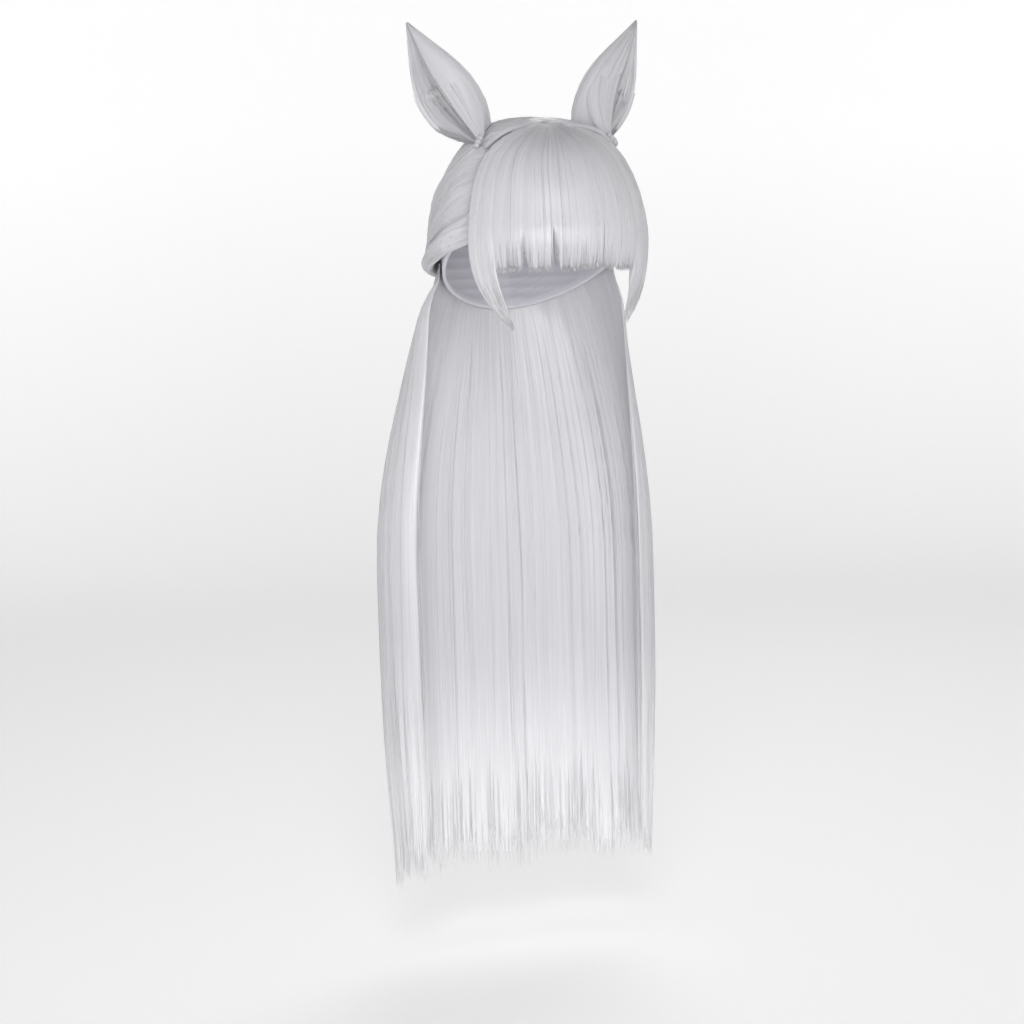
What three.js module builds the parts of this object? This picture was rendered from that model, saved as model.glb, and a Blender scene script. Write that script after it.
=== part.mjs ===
// A long straight wig with a blunt fringe, swept-back sides tied behind, and a pair of soft pointed ears.
// Millimetres, +Z up. The face side looks towards -Y and the wearer's left is +X.
// The origin is the point where the crown of a head meets the inside of the cap.
import * as THREE from 'three';
import { mergeVertices } from 'three/addons/utils/BufferGeometryUtils.js';

const { lerp: mix, smoothstep, clamp, degToRad: rad } = THREE.MathUtils;
const ease = (x) => smoothstep(x, 0, 1);

// Driving dimensions

// The head form: half breadth and half length at the widest level, and the crown's height above that level.
// A fullness under 1 makes the dome fuller than an ellipsoid.
const HEAD = { halfWidth: 78, halfDepth: 99, height: 105, fullness: 0.85 };

// The hair whorls from a point forward of the crown. The shift fades out towards this many degrees down.
const WHORL = { forward: 28, fade: 62 };

// The cap ends on a tilted line: high over the brow, low at the nape (degrees down from the crown).
const CAP = { wall: 2, edgeSide: 90, edgeSwing: 28, columns: 36, rows: 9 };

// Hair lies on the cap with this gap, and is this thick where it is fullest.
const HAIR = { gap: 1.1, root: 3, thick: 7.5, tip: 3.5, ridge: 1.1, parting: 1.2 };

// The fringe hangs straight below its eave to a blunt line at brow height.
const FRINGE = { start: -46.5, eave: 80, domeShare: 0.74, tipZ: -120, tuck: 0.03, rows: 10 };
const FRINGE_LOCKS = [
  { end: -40, hang: 1, notch: 0 },
  { end: -31, hang: 0, notch: 5 },
  { end: -15.5, hang: 1, notch: 19 },
  { end: -1, hang: 1, notch: 25 },
  { end: 9, hang: 0, notch: 3 },
  { end: 22, hang: 1, notch: 4 },
  { end: 40, hang: 2, notch: 3 },
];

// A longer lock falls beside each end of the fringe and curves in to a point on the cheek.
const SIDE_LOCK = { domeShare: 0.5, innerFrom: 0.46, innerPull: 1.5, outerPull: 3.2, tuck: 0.13, rows: 12, edgeLift: 4 };
const SIDE_LOCKS = [
  { name: 'right', start: -47.1, end: -61.5, tipTurn: -39, tipZ: -165 },
  { name: 'left', start: 40.6, end: 66, tipTurn: 40, tipZ: -162 },
];

// Crown and swept-back hair run along curves between two limits. Each limit lists four guide points:
// degrees round the head from the brow, and degrees down from the crown.
const CROWN = {
  rows: 9,
  front: [[71, 2], [74.5, 34], [101, 74], [176, 88.5]],
  back: [[179.6, 2], [179.6, 34], [179.4, 62], [179, 87]],
};
const CROWN_LOCKS = [{ end: 0.16 }, { end: 0.36 }, { end: 0.58 }, { end: 0.79 }, { end: 1 }];
const SWEPT = {
  rows: 9,
  upper: [[70, 12], [73.5, 37], [100, 75.8], [177, 91]],
  lower: [[60, 82], [80, 92.5], [115, 100], [177, 102.5]],
  thick: 10,
  gathered: 0.42,
  under: 5.2,
  roll: 2.2,
  overhang: 4.6,
};
// The swept hair starts under the outer edge of each side lock.
const SWEPT_LEAD = { right: -4.5, left: 0 };
const SWEPT_LOCKS = [{ end: 0.2 }, { end: 0.42 }, { end: 0.62 }, { end: 0.82 }, { end: 1 }];

// The loose hair starts under the swept sides, spreads to shoulder width and hangs to a level end.
// A crowd over 1 sets the rows of a fall closer together near its root.
// In plan each half is a rounded corner: flat behind, widest beside the back and drawn forward at the edge.
const CURTAIN = {
  wrap: 76, rootBack: 103.5, rootSide: 99, backY: 97, waistY: 62, forward: 50, sweep: 125, square: 2.5,
  bunch: 1.25, flareDrop: 258, tipZ: -665, rows: 11, crowd: 1.4, root: 2.2, sewnGap: 0.4, puff: 4,
  thick: 8, tip: 3, seam: 0.3,
};
const CURTAIN_HALF_WIDTH = { right: 124, left: 113.5 };
const CURTAIN_LOCKS = [
  { end: 0.14, hang: 4, notch: 0 },
  { end: 0.31, hang: -3, notch: 14 },
  { end: 0.5, hang: 2, notch: 10 },
  { end: 0.68, hang: -2, notch: 18 },
  { end: 0.85, hang: -5, notch: 12 },
  { end: 1, hang: -16, notch: 20 },
];

// The tied hair leaves the band as a narrow neck and fans out over the loose hair.
const TAIL = {
  neckY: 119.5, neckHalfWidth: 11.5, neckHalfDepth: 6.3, topZ: -108, fanDrop: 150, fanHalfWidth: 66,
  fanDepth: 9, clear: 0.6, curl: 8, tipZ: -596, rows: 12, crowd: 1.7, tip: 3,
};
const TAIL_LOCKS = [
  { end: -0.68, hang: -9, notch: 0 },
  { end: -0.36, hang: 3, notch: 16 },
  { end: 0, hang: 6, notch: 12 },
  { end: 0.33, hang: 1, notch: 18 },
  { end: 0.69, hang: 5, notch: 10 },
  { end: 1, hang: -7, notch: 15 },
];
const BAND = { z: -118, tube: 2.4, gap: 0.4, around: 20, sides: 6 };

// Ears: base on the head, tip in space, and how far the opening is turned from the front to the side.
// The inner rim folds over the front. The outer side opens out, straight from straightFrom to its rim.
const EAR = { lift: 11.6, wall: 3.4, innerRim: 168, outerRim: 90, straightFrom: 60, columns: 14, bow: 3.5 };
const EARS = [
  { name: 'right', side: -1, base: [96, 31], tip: [104, 17, 88], openTurn: 54 },
  { name: 'left', side: 1, base: [96, 31], tip: [104, 17, 91], openTurn: 24 },
];
const EAR_SECTIONS = [
  { along: 0, halfWidth: 19, halfDepth: 11 },
  { along: 0.09, halfWidth: 24, halfDepth: 13 },
  { along: 0.2, halfWidth: 27.5, halfDepth: 15 },
  { along: 0.4, halfWidth: 28, halfDepth: 15.5 },
  { along: 0.58, halfWidth: 22.5, halfDepth: 12.5 },
  { along: 0.75, halfWidth: 14, halfDepth: 8 },
  { along: 0.9, halfWidth: 6, halfDepth: 3.5 },
  { along: 1, halfWidth: 0.9, halfDepth: 0.7 },
];

// A twist of hair binds the front of each ear to the crown.
const KNOT = { turn: 67, down: 40, halfLength: 7, radius: 3.1, stand: 0.95, around: 10, rows: 8 };

// Colours and finishes

const hairFinish = new THREE.MeshStandardMaterial({ color: 0xcdccd3, roughness: 0.42, metalness: 0 });
const earFinish = new THREE.MeshStandardMaterial({ color: 0xc9c8ce, roughness: 0.5, metalness: 0 });
const capFinish = new THREE.MeshStandardMaterial({ color: 0xb9b8c0, roughness: 0.9, metalness: 0 });
const bandFinish = new THREE.MeshStandardMaterial({ color: 0xbdbcc4, roughness: 0.6, metalness: 0 });

// Shape helpers

// The point on the head form raised by lift. turn runs from the brow to the wearer's left, down from the crown.
function onHead(turn, down, lift) {
  const reach = Math.sin(rad(down)) ** HEAD.fullness;
  return new THREE.Vector3(
    (HEAD.halfWidth + lift) * reach * Math.sin(rad(turn)),
    -(HEAD.halfDepth + lift) * reach * Math.cos(rad(turn)),
    -HEAD.height + (HEAD.height + lift) * Math.cos(rad(down)),
  );
}

// Height of the raised head form over a plan position, or the widest level outside it.
function headTopZ(x, y, lift) {
  const reach = Math.hypot(x / (HEAD.halfWidth + lift), y / (HEAD.halfDepth + lift));
  const sine = Math.min(1, reach) ** (1 / HEAD.fullness);
  return -HEAD.height + (HEAD.height + lift) * Math.sqrt(1 - sine * sine);
}

// The same point carried forward along the head form, as far as the whorl is.
function onScalp(turn, down, lift) {
  const point = onHead(turn, down, lift);
  point.y -= WHORL.forward * (1 - ease(down / WHORL.fade));
  if (down < WHORL.fade) point.z = headTopZ(point.x, point.y, lift);
  return point;
}

// A point on a cubic curve through four guide points of [turn, down].
function alongGuides(guides, v) {
  const w = 1 - v;
  const shares = [w * w * w, 3 * w * w * v, 3 * w * v * v, v * v * v];
  return [0, 1].map((k) => guides.reduce((sum, guide, i) => sum + shares[i] * guide[k], 0));
}

// Columns across a row of locks. Each lock stands proud in its middle, and its first crease is cut back by its notch.
const LOCK_CUTS = [0, 0.1, 0.5, 0.9];
function columnsOf(locks, start) {
  const columns = [];
  let from = start;
  for (const { end, hang = 0, notch = 0 } of locks) {
    for (const cut of LOCK_CUTS) {
      const bulge = 1 - Math.abs(2 * cut - 1) ** 3;
      columns.push({ at: mix(from, end, cut), bulge, hang: hang - (cut === 0 ? notch : 0) });
    }
    from = end;
  }
  columns.push({ at: from, bulge: 0, hang: locks.at(-1).hang ?? 0 });
  return columns;
}

// One closed body between an outer and an inner surface, both given at (column, row share).
function wallBetween(columns, rows, outer, inner, closedRound = false) {
  const across = closedRound ? columns.length : columns.length - 1;
  const faces = [];
  const quad = (a, b, c, d) => faces.push(a, b, c, a, c, d);
  const grid = [outer, inner].map((surface) =>
    columns.map((column) => Array.from({ length: rows + 1 }, (_, j) => surface(column, j / rows))));
  const corner = (layer, i, j) => grid[layer][i % columns.length][j];
  for (let i = 0; i < across; i++) {
    for (let j = 0; j < rows; j++) {
      quad(corner(0, i, j), corner(0, i + 1, j), corner(0, i + 1, j + 1), corner(0, i, j + 1));
      quad(corner(1, i, j), corner(1, i, j + 1), corner(1, i + 1, j + 1), corner(1, i + 1, j));
    }
    for (const [j, first, second] of [[0, 1, 0], [rows, 0, 1]]) {
      quad(corner(first, i, j), corner(first, i + 1, j), corner(second, i + 1, j), corner(second, i, j));
    }
  }
  if (!closedRound) {
    for (let j = 0; j < rows; j++) {
      for (const [i, first, second] of [[0, 0, 1], [across, 1, 0]]) {
        quad(corner(first, i, j), corner(first, i, j + 1), corner(second, i, j + 1), corner(second, i, j));
      }
    }
  }
  return closedBody(faces);
}

// Triangles from corner points, with doubled corners joined, empty triangles dropped and faces turned outwards.
function closedBody(corners) {
  const positions = new Float32Array(corners.flatMap((p) => [p.x, p.y, p.z]));
  const loose = new THREE.BufferGeometry().setAttribute('position', new THREE.BufferAttribute(positions, 3));
  const joined = mergeVertices(loose, 1e-3);
  const point = (i) => new THREE.Vector3().fromBufferAttribute(joined.attributes.position, i);
  const kept = [];
  let volume = 0;
  for (let k = 0; k < joined.index.count; k += 3) {
    const [a, b, c] = [0, 1, 2].map((n) => joined.index.getX(k + n));
    if (a === b || b === c || c === a) continue;
    kept.push([a, b, c]);
    volume += point(a).dot(point(b).cross(point(c)));
  }
  joined.setIndex(kept.flatMap(([a, b, c]) => (volume < 0 ? [a, c, b] : [a, b, c])));
  joined.computeVertexNormals();
  return joined;
}

// A sheet of hair: place(column, v, lift) gives a point, and lifts(column, v) its inner and outer height.
function hairSheet(columns, rows, place, lifts) {
  return wallBetween(
    columns,
    rows,
    (column, v) => place(column, v, lifts(column, v)[1]),
    (column, v) => place(column, v, lifts(column, v)[0]),
  );
}

const wig = new THREE.Group();

function addPiece(name, geometry, material) {
  const mesh = new THREE.Mesh(geometry, material);
  mesh.name = name;
  wig.add(mesh);
}

// Cap: a thin dome, open below

function capGeometry() {
  const columns = Array.from({ length: CAP.columns }, (_, i) => (360 * i) / CAP.columns);
  const surface = (lift) => (turn, v) =>
    onHead(turn, v * (CAP.edgeSide - CAP.edgeSwing * Math.cos(rad(turn))), lift);
  return wallBetween(columns, CAP.rows, surface(CAP.wall), surface(0), true);
}

// Fringe and the two side locks

// Hair from the whorl: over the dome down to the eave, then straight down to tipZ.
// drawn(w) turns and pulls in the hanging part, w running from the eave to the tip.
function fallFromWhorl(turn, v, lift, domeShare, tipZ, drawn) {
  if (v <= domeShare) return onScalp(turn, mix(HAIR.parting, FRINGE.eave, v / domeShare), lift);
  const w = (v - domeShare) / (1 - domeShare);
  const { turn: tipTurn, tuck } = drawn(w);
  const eave = onHead(tipTurn, FRINGE.eave, lift);
  return new THREE.Vector3(eave.x * (1 - tuck), eave.y * (1 - tuck), mix(eave.z, tipZ, w));
}

// Inner and outer lift of hair from the whorl: thin at the root, full over the brow, thin at the tip.
function whorlLifts(bulge, v, domeShare, edgeLift = 0) {
  const fill = ease(v / (0.6 * domeShare));
  const thin = ease((v - domeShare) / (1 - domeShare));
  const low = CAP.wall + HAIR.gap + fill * (1.6 + edgeLift) + thin * 1.4;
  const thick = mix(HAIR.root, HAIR.thick - edgeLift * 0.8, fill);
  return [low, low + mix(thick, HAIR.tip, thin) + HAIR.ridge * bulge * fill];
}

function fringeGeometry() {
  const drawn = (turn) => (w) => ({ turn, tuck: FRINGE.tuck * w * w });
  return hairSheet(
    columnsOf(FRINGE_LOCKS, FRINGE.start),
    FRINGE.rows,
    ({ at, hang }, v, lift) =>
      fallFromWhorl(at, v, lift, FRINGE.domeShare, FRINGE.tipZ - hang, drawn(at)),
    ({ bulge }, v) => whorlLifts(bulge, v, FRINGE.domeShare),
  );
}

function sideLockGeometry({ start, end, tipTurn, tipZ }) {
  const locks = [{ end: mix(start, end, 0.5) }, { end }];
  const drawn = (turn) => (w) => {
    const outward = (turn - start) / (end - start);
    const from = SIDE_LOCK.innerFrom * (1 - outward);
    const pull = Math.max(0, (w - from) / (1 - from)) ** mix(SIDE_LOCK.innerPull, SIDE_LOCK.outerPull, outward);
    return { turn: mix(turn, tipTurn, 0.96 * pull), tuck: SIDE_LOCK.tuck * w * w };
  };
  return hairSheet(
    columnsOf(locks, start),
    SIDE_LOCK.rows,
    ({ at }, v, lift) => fallFromWhorl(at, v, lift, SIDE_LOCK.domeShare, tipZ, drawn(at)),
    ({ at, bulge }, v) => {
      const outward = ease((at - start) / (end - start));
      return whorlLifts(bulge, v, SIDE_LOCK.domeShare, SIDE_LOCK.edgeLift * outward);
    },
  );
}

// Crown halves and swept sides

function guidesBetween(first, second, share) {
  return first.map((guide, i) => guide.map((value, k) => mix(value, second[i][k], share)));
}

function guidedPoint(side, first, second, at, v, lift) {
  const [turn, down] = alongGuides(guidesBetween(first, second, at), v);
  return onScalp(side * turn, down, lift);
}

function crownGeometry(side) {
  return hairSheet(
    columnsOf(CROWN_LOCKS, 0),
    CROWN.rows,
    ({ at }, v, lift) => guidedPoint(side, CROWN.front, CROWN.back, at, v, lift),
    ({ bulge }, v) => {
      const fill = ease(v / 0.3);
      const low = CAP.wall + HAIR.gap + fill * 0.6;
      return [low, low + mix(HAIR.root + 1, HAIR.thick - 0.8, fill) + HAIR.ridge * bulge * fill];
    },
  );
}

function sweptGeometry({ name, side }) {
  const [[upperTurn, upperDown], ...upper] = SWEPT.upper;
  const [[lowerTurn, lowerDown], ...lower] = SWEPT.lower;
  const upperGuides = [[upperTurn + SWEPT_LEAD[name], upperDown], ...upper];
  const lowerGuides = [[lowerTurn + SWEPT_LEAD[name], lowerDown], ...lower];
  return hairSheet(
    columnsOf(SWEPT_LOCKS, 0),
    SWEPT.rows,
    ({ at }, v, lift) => guidedPoint(side, upperGuides, lowerGuides, at, v, lift),
    ({ at, bulge }, v) => {
      const out = ease((v - 0.06) / 0.22);
      const roll = SWEPT.roll * ease((at - 0.8) / 0.1) * out;
      const overhang = SWEPT.overhang * ease((at - 0.62) / 0.2) * out;
      const low = CAP.wall + HAIR.gap + 0.3 * out + 1.4 * ease((v - 0.5) / 0.3) + overhang;
      const gather = mix(1, SWEPT.gathered, ease((v - 0.55) / 0.45));
      const full = (SWEPT.thick - 0.6 * overhang + roll + HAIR.ridge * bulge) * gather;
      return [low, mix(SWEPT.under, low + full, out)];
    },
  );
}

// Loose hair, tied hair and its band

// Plan of one half of the loose hair below its root: across from the centre line, and depth behind the head.
function curtainPlan(halfWidth, at) {
  const turn = rad(CURTAIN.sweep * at ** CURTAIN.bunch);
  const [across, behind] = [Math.sin(turn), Math.cos(turn)];
  const deep = Math.sign(behind) * Math.abs(behind) ** (2 / CURTAIN.square);
  return new THREE.Vector2(
    halfWidth * across ** (2 / CURTAIN.square),
    CURTAIN.waistY + deep * (deep > 0 ? CURTAIN.backY - CURTAIN.waistY : CURTAIN.forward),
  );
}

// Across the curtain the outward direction turns from straight back to sideways.
function curtainPoint({ name, side }, { at, hang }, v, lift) {
  const root = onHead(side * (180 - at * CURTAIN.wrap), mix(CURTAIN.rootBack, CURTAIN.rootSide, at), lift);
  root.x += side * CURTAIN.seam;
  const z = mix(root.z, CURTAIN.tipZ - hang, v ** CURTAIN.crowd);
  const flare = Math.sin((Math.PI / 2) * Math.min(1, (root.z - z) / CURTAIN.flareDrop));
  const halfWidth = CURTAIN_HALF_WIDTH[name];
  const plan = curtainPlan(halfWidth, at);
  const tangent = curtainPlan(halfWidth, at + 0.01).sub(curtainPlan(halfWidth, Math.max(0, at - 0.01))).normalize();
  plan.addScaledVector(new THREE.Vector2(-tangent.y, tangent.x), lift - CAP.wall - HAIR.gap);
  const spreadX = side * (plan.x + CURTAIN.seam);
  return new THREE.Vector3(mix(root.x, spreadX, flare), mix(root.y, plan.y, flare), z);
}

function curtainGeometry(half) {
  return hairSheet(
    columnsOf(CURTAIN_LOCKS, 0),
    CURTAIN.rows,
    (column, v, lift) => curtainPoint(half, column, v, lift),
    ({ bulge }, v) => {
      const out = ease(v / 0.09);
      const sewn = mix(CURTAIN.sewnGap, HAIR.gap, out);
      const low = CAP.wall + sewn + CURTAIN.puff * out * (1 - ease((v - 0.09) / 0.25));
      const thick = mix(mix(CURTAIN.root, CURTAIN.thick, out), CURTAIN.tip, ease((v - 0.75) / 0.25));
      return [low, low + thick + HAIR.ridge * bulge * ease(v / 0.2)];
    },
  );
}

// Depth of the loose hair's outer face behind the head, below its root, at a plan offset from the centre line.
function curtainFace(x) {
  const across = clamp(Math.abs(x) / CURTAIN_HALF_WIDTH.left, 0, 1) ** CURTAIN.square;
  const behind = (1 - across) ** (1 / CURTAIN.square);
  return mix(CURTAIN.waistY, CURTAIN.backY, behind) + CURTAIN.thick + HAIR.ridge + TAIL.clear;
}

function tailGeometry() {
  return hairSheet(
    columnsOf(TAIL_LOCKS, -1),
    TAIL.rows,
    ({ at, hang }, v, lift) => {
      const z = mix(TAIL.topZ, TAIL.tipZ - hang, v ** TAIL.crowd);
      const fan = ease((BAND.z - z) / TAIL.fanDrop);
      const halfWidth = mix(TAIL.neckHalfWidth, TAIL.fanHalfWidth, fan);
      const x = at * halfWidth;
      const neckBulge = TAIL.neckHalfDepth * Math.sqrt(Math.max(0, 1 - at * at));
      const neckSide = lift > 0 ? neckBulge : -neckBulge;
      const fanY = curtainFace(x) + TAIL.curl * (1 - at * at) * 0.3 + Math.max(0, lift);
      return new THREE.Vector3(x, mix(TAIL.neckY + neckSide, fanY, fan), z);
    },
    ({ at, bulge }, v) => {
      const rounded = Math.sqrt(Math.max(0.02, 1 - at * at));
      const thick = mix(TAIL.fanDepth * rounded, TAIL.tip, ease((v - 0.7) / 0.3));
      return [0, Math.max(1.2, thick) + HAIR.ridge * bulge];
    },
  );
}

function bandGeometry() {
  const columns = Array.from({ length: BAND.around }, (_, i) => (2 * Math.PI * i) / BAND.around);
  const ringHalfWidth = TAIL.neckHalfWidth + BAND.gap + BAND.tube + 1.4;
  const ringHalfDepth = TAIL.neckHalfDepth + BAND.gap + BAND.tube + 0.4;
  const corners = [];
  const onRing = (turn, roll) => new THREE.Vector3(
    (ringHalfWidth + BAND.tube * Math.cos(roll)) * Math.cos(turn),
    TAIL.neckY + (ringHalfDepth + BAND.tube * Math.cos(roll)) * Math.sin(turn),
    BAND.z + BAND.tube * 1.5 * Math.sin(roll),
  );
  const rolls = Array.from({ length: BAND.sides }, (_, j) => (2 * Math.PI * j) / BAND.sides);
  columns.forEach((turn, i) => {
    const next = columns[(i + 1) % columns.length];
    rolls.forEach((roll, j) => {
      const nextRoll = rolls[(j + 1) % rolls.length];
      const [a, b, c, d] = [onRing(turn, roll), onRing(next, roll), onRing(next, nextRoll), onRing(turn, nextRoll)];
      corners.push(a, b, c, a, c, d);
    });
  });
  return closedBody(corners);
}

// Ears and their knots

function earSection(along) {
  const upper = EAR_SECTIONS.findIndex((section) => section.along >= along && section.along > 0);
  const [a, b] = [EAR_SECTIONS[upper - 1], EAR_SECTIONS[upper]];
  const share = (along - a.along) / (b.along - a.along);
  return { halfWidth: mix(a.halfWidth, b.halfWidth, share), halfDepth: mix(a.halfDepth, b.halfDepth, share) };
}

// A pointed leaf rolled into a cup: each section is an arc round the ear's line, open towards openTurn, which
// runs on along its tangent where it opens out.
function earGeometry({ side, base, tip, openTurn }) {
  const foot = onHead(side * base[0], base[1], EAR.lift);
  const point = new THREE.Vector3(side * tip[0], tip[1], tip[2]);
  const axis = point.clone().sub(foot).normalize();
  const open = new THREE.Vector3(side * Math.sin(rad(openTurn)), -Math.cos(rad(openTurn)), 0);
  open.addScaledVector(axis, -open.dot(axis)).normalize();
  const across = new THREE.Vector3().crossVectors(axis, open);
  const alongs = EAR_SECTIONS.map((section) => section.along);
  const [inner, outer] = side > 0 ? [-EAR.innerRim, EAR.outerRim] : [EAR.innerRim, -EAR.outerRim];
  const columns = Array.from({ length: EAR.columns + 1 }, (_, i) => mix(inner, outer, i / EAR.columns));
  const rows = alongs.length - 1;
  const surface = (inset) => (turn, v) => {
    const along = alongs[Math.round(v * rows)];
    const { halfWidth, halfDepth } = earSection(along);
    const wall = inset * Math.min(EAR.wall, 0.45 * halfDepth);
    const centre = foot.clone().lerp(point, along);
    centre.x += side * EAR.bow * Math.sin(Math.PI * along);
    const round = side > 0 ? Math.min(turn, EAR.straightFrom) : Math.max(turn, -EAR.straightFrom);
    const past = rad(turn - round);
    centre.addScaledVector(across, (halfWidth - wall) * (Math.sin(rad(round)) + past * Math.cos(rad(round))));
    centre.addScaledVector(open, -(halfDepth - wall) * (Math.cos(rad(round)) - past * Math.sin(rad(round))));
    const seat = headTopZ(centre.x, centre.y, EAR.lift);
    centre.z = along === 0 ? seat : Math.max(centre.z, seat + 1.5 + 20 * along * inset);
    return centre;
  };
  return wallBetween(columns, rows, surface(0), surface(1));
}

// A short twist lying across the front of the ear's foot, tapered at both ends.
function knotGeometry(side) {
  const centre = onHead(side * KNOT.turn, KNOT.down, EAR.lift + KNOT.radius + KNOT.stand);
  const ahead = onHead(side * KNOT.turn, KNOT.down + 5, EAR.lift + KNOT.radius + KNOT.stand);
  const line = ahead.sub(centre).normalize();
  const up = centre.clone().setZ(centre.z + HEAD.height).normalize();
  const across = new THREE.Vector3().crossVectors(line, up).normalize();
  const ring = (turn, v) => {
    const along = mix(-1, 1, v);
    const radius = KNOT.radius * Math.sqrt(Math.max(0, 1 - along ** 4));
    return centre.clone().addScaledVector(line, along * KNOT.halfLength)
      .addScaledVector(across, radius * Math.cos(turn))
      .addScaledVector(up, radius * Math.sin(turn));
  };
  const corners = [];
  for (let i = 0; i < KNOT.around; i++) {
    const [turn, next] = [i, i + 1].map((n) => (2 * Math.PI * (n % KNOT.around)) / KNOT.around);
    for (let j = 0; j < KNOT.rows; j++) {
      const [low, high] = [j / KNOT.rows, (j + 1) / KNOT.rows];
      const [a, b, c, d] = [ring(turn, low), ring(next, low), ring(next, high), ring(turn, high)];
      corners.push(a, b, c, a, c, d);
    }
  }
  return closedBody(corners);
}

// Assembly

addPiece('cap', capGeometry(), capFinish);
addPiece('fringe', fringeGeometry(), hairFinish);
for (const lock of SIDE_LOCKS) addPiece(`side_lock_${lock.name}`, sideLockGeometry(lock), hairFinish);
for (const ear of EARS) {
  addPiece(`crown_${ear.name}`, crownGeometry(ear.side), hairFinish);
  addPiece(`swept_side_${ear.name}`, sweptGeometry(ear), hairFinish);
  addPiece(`back_hair_${ear.name}`, curtainGeometry(ear), hairFinish);
  addPiece(`ear_${ear.name}`, earGeometry(ear), earFinish);
  addPiece(`ear_knot_${ear.name}`, knotGeometry(ear.side), hairFinish);
}
addPiece('tied_tail', tailGeometry(), hairFinish);
addPiece('tail_band', bandGeometry(), bandFinish);

export default wig;
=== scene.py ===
"""A long straight wig with a blunt fringe, swept-back sides tied behind and soft pointed ears.

Every sheet of hair is a surface over two parameters: a place across the sheet and a share of the way
from root to tip. Loose strands are thin tubes that follow the same surface. Sizes are in millimetres
and degrees inside the shape functions, and metres in Blender.
"""
import math
from functools import partial
from types import SimpleNamespace as Sizes
from typing import Callable, NamedTuple

import bpy
import numpy as np
from bpy.props import FloatProperty, FloatVectorProperty, PointerProperty
from mathutils import Matrix, Vector


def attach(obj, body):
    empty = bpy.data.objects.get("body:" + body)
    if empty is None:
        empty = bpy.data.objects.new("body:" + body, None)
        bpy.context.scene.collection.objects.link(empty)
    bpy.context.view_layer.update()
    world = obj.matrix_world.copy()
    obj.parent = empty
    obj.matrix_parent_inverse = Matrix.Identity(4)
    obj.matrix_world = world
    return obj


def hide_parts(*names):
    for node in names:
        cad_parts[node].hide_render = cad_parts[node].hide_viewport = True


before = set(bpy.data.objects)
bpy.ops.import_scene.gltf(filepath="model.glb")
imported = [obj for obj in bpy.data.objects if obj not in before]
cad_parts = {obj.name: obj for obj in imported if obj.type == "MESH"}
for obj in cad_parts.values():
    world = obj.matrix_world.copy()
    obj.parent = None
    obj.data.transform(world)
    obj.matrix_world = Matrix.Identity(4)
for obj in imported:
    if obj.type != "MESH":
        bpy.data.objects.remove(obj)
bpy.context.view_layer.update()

bl_info = {
    "name": "Long Straight Wig",
    "version": (1, 0, 0),
    "blender": (4, 5, 0),
    "location": "3D View > Sidebar > Wig",
    "description": "Builds a long straight wig with a fringe, tied sides and soft ears",
    "category": "Object",
}

MM = 0.001
FULL_TURN = 2 * np.pi
SIDES = {"right": -1, "left": 1}

# Form of the wig, the same values as the solids, with the finer forms that only the fibre shows.
# width, length: rough size of a sheet of hair, which sets the scale of its ridges and streaks.
# A pair of numbers is a smooth step: where it begins, and how far it runs.

HEAD = Sizes(half_width=78, half_depth=99, height=105, fullness=0.85)
WHORL = Sizes(forward=28, fade=62, root_down=0.2, dip=2.3, dip_over=0.05)
CAP = Sizes(
    wall=2, edge_side=90, edge_swing=28, top_down=0.4, mean_radius=100, girth_radius=88,
    tape_width=7, tape_edge=1.5, tape_out=0.5, tape_in=0.6, row_height=0.9, rows_at=(30, 8),
    ribbon_turn=60, ribbon_half=0.12, ribbon_edge=0.02, ribbon_at=(26, 3),
    columns=132, outer_rows=26, inner_rows=84, row_power=10, tint=0.1, row_tint=0.8, tape_tint=0.75,
    ribbon_tint=0.45,
)
HAIR = Sizes(
    gap=1.1, root=3, thick=7.5, tip=3.5, ridge=1.1, fills_by=0.6, rise=1.6, tip_rise=1.4, edge_thins=0.8,
)
FRINGE = Sizes(
    width=150, length=190, start=-46.5, eave=80, dome_share=0.74, tip_z=-120, tuck=0.03, bulge=0.4,
    roll=0.016, roll_drop=12, parting_over=0.12, parting_tight=0.4,
)
SIDE_LOCK = Sizes(
    width=36, length=250, dome_share=0.5, inner_from=0.46, inner_pull=1.5, outer_pull=3.2, pull=0.96,
    tuck=0.13, edge_lift=4,
)
SIDE_LOCKS = {
    "right": dict(start=-47.1, end=-61.5, tip_turn=-39, tip_z=-165),
    "left": dict(start=40.6, end=66, tip_turn=40, tip_z=-162),
}
CROWN = Sizes(
    width=100, length=190, fills=(0, 0.3), rise=0.6, root=1, thinner=0.8, dip=0.7,
    start_up=1.8, start_power=8, least_down=0.3,
)
# Guide points of a cubic curve from root to tie: turn and down
CROWN_FRONT = [(71, 2), (74.5, 34), (101, 74), (176, 88.5)]
CROWN_BACK = [(179.6, 2), (179.6, 34), (179.4, 62), (179, 87)]
SWEPT_UPPER = [(70, 12), (73.5, 37), (100, 75.8), (177, 91)]
SWEPT_LOWER = [(60, 82), (80, 92.5), (115, 100), (177, 102.5)]
SWEPT_LEAD = {"right": -4.5, "left": 0}
SWEPT = Sizes(
    width=85, length=180, thick=10, gathered=0.42, under=5.2, roll=2.2, overhang=4.6, turns=4, slant=4,
    front_lift=0.3, back_lift=1.4, thinned=0.6, twist=1.2, twist_middle=0.7, parting_over=0.25,
    out=(0.06, 0.22), roll_at=(0.8, 0.1), overhang_at=(0.62, 0.2), back_at=(0.5, 0.3),
    gathers=(0.55, 0.45), twist_at=(0.8, 0.06),
)
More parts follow.
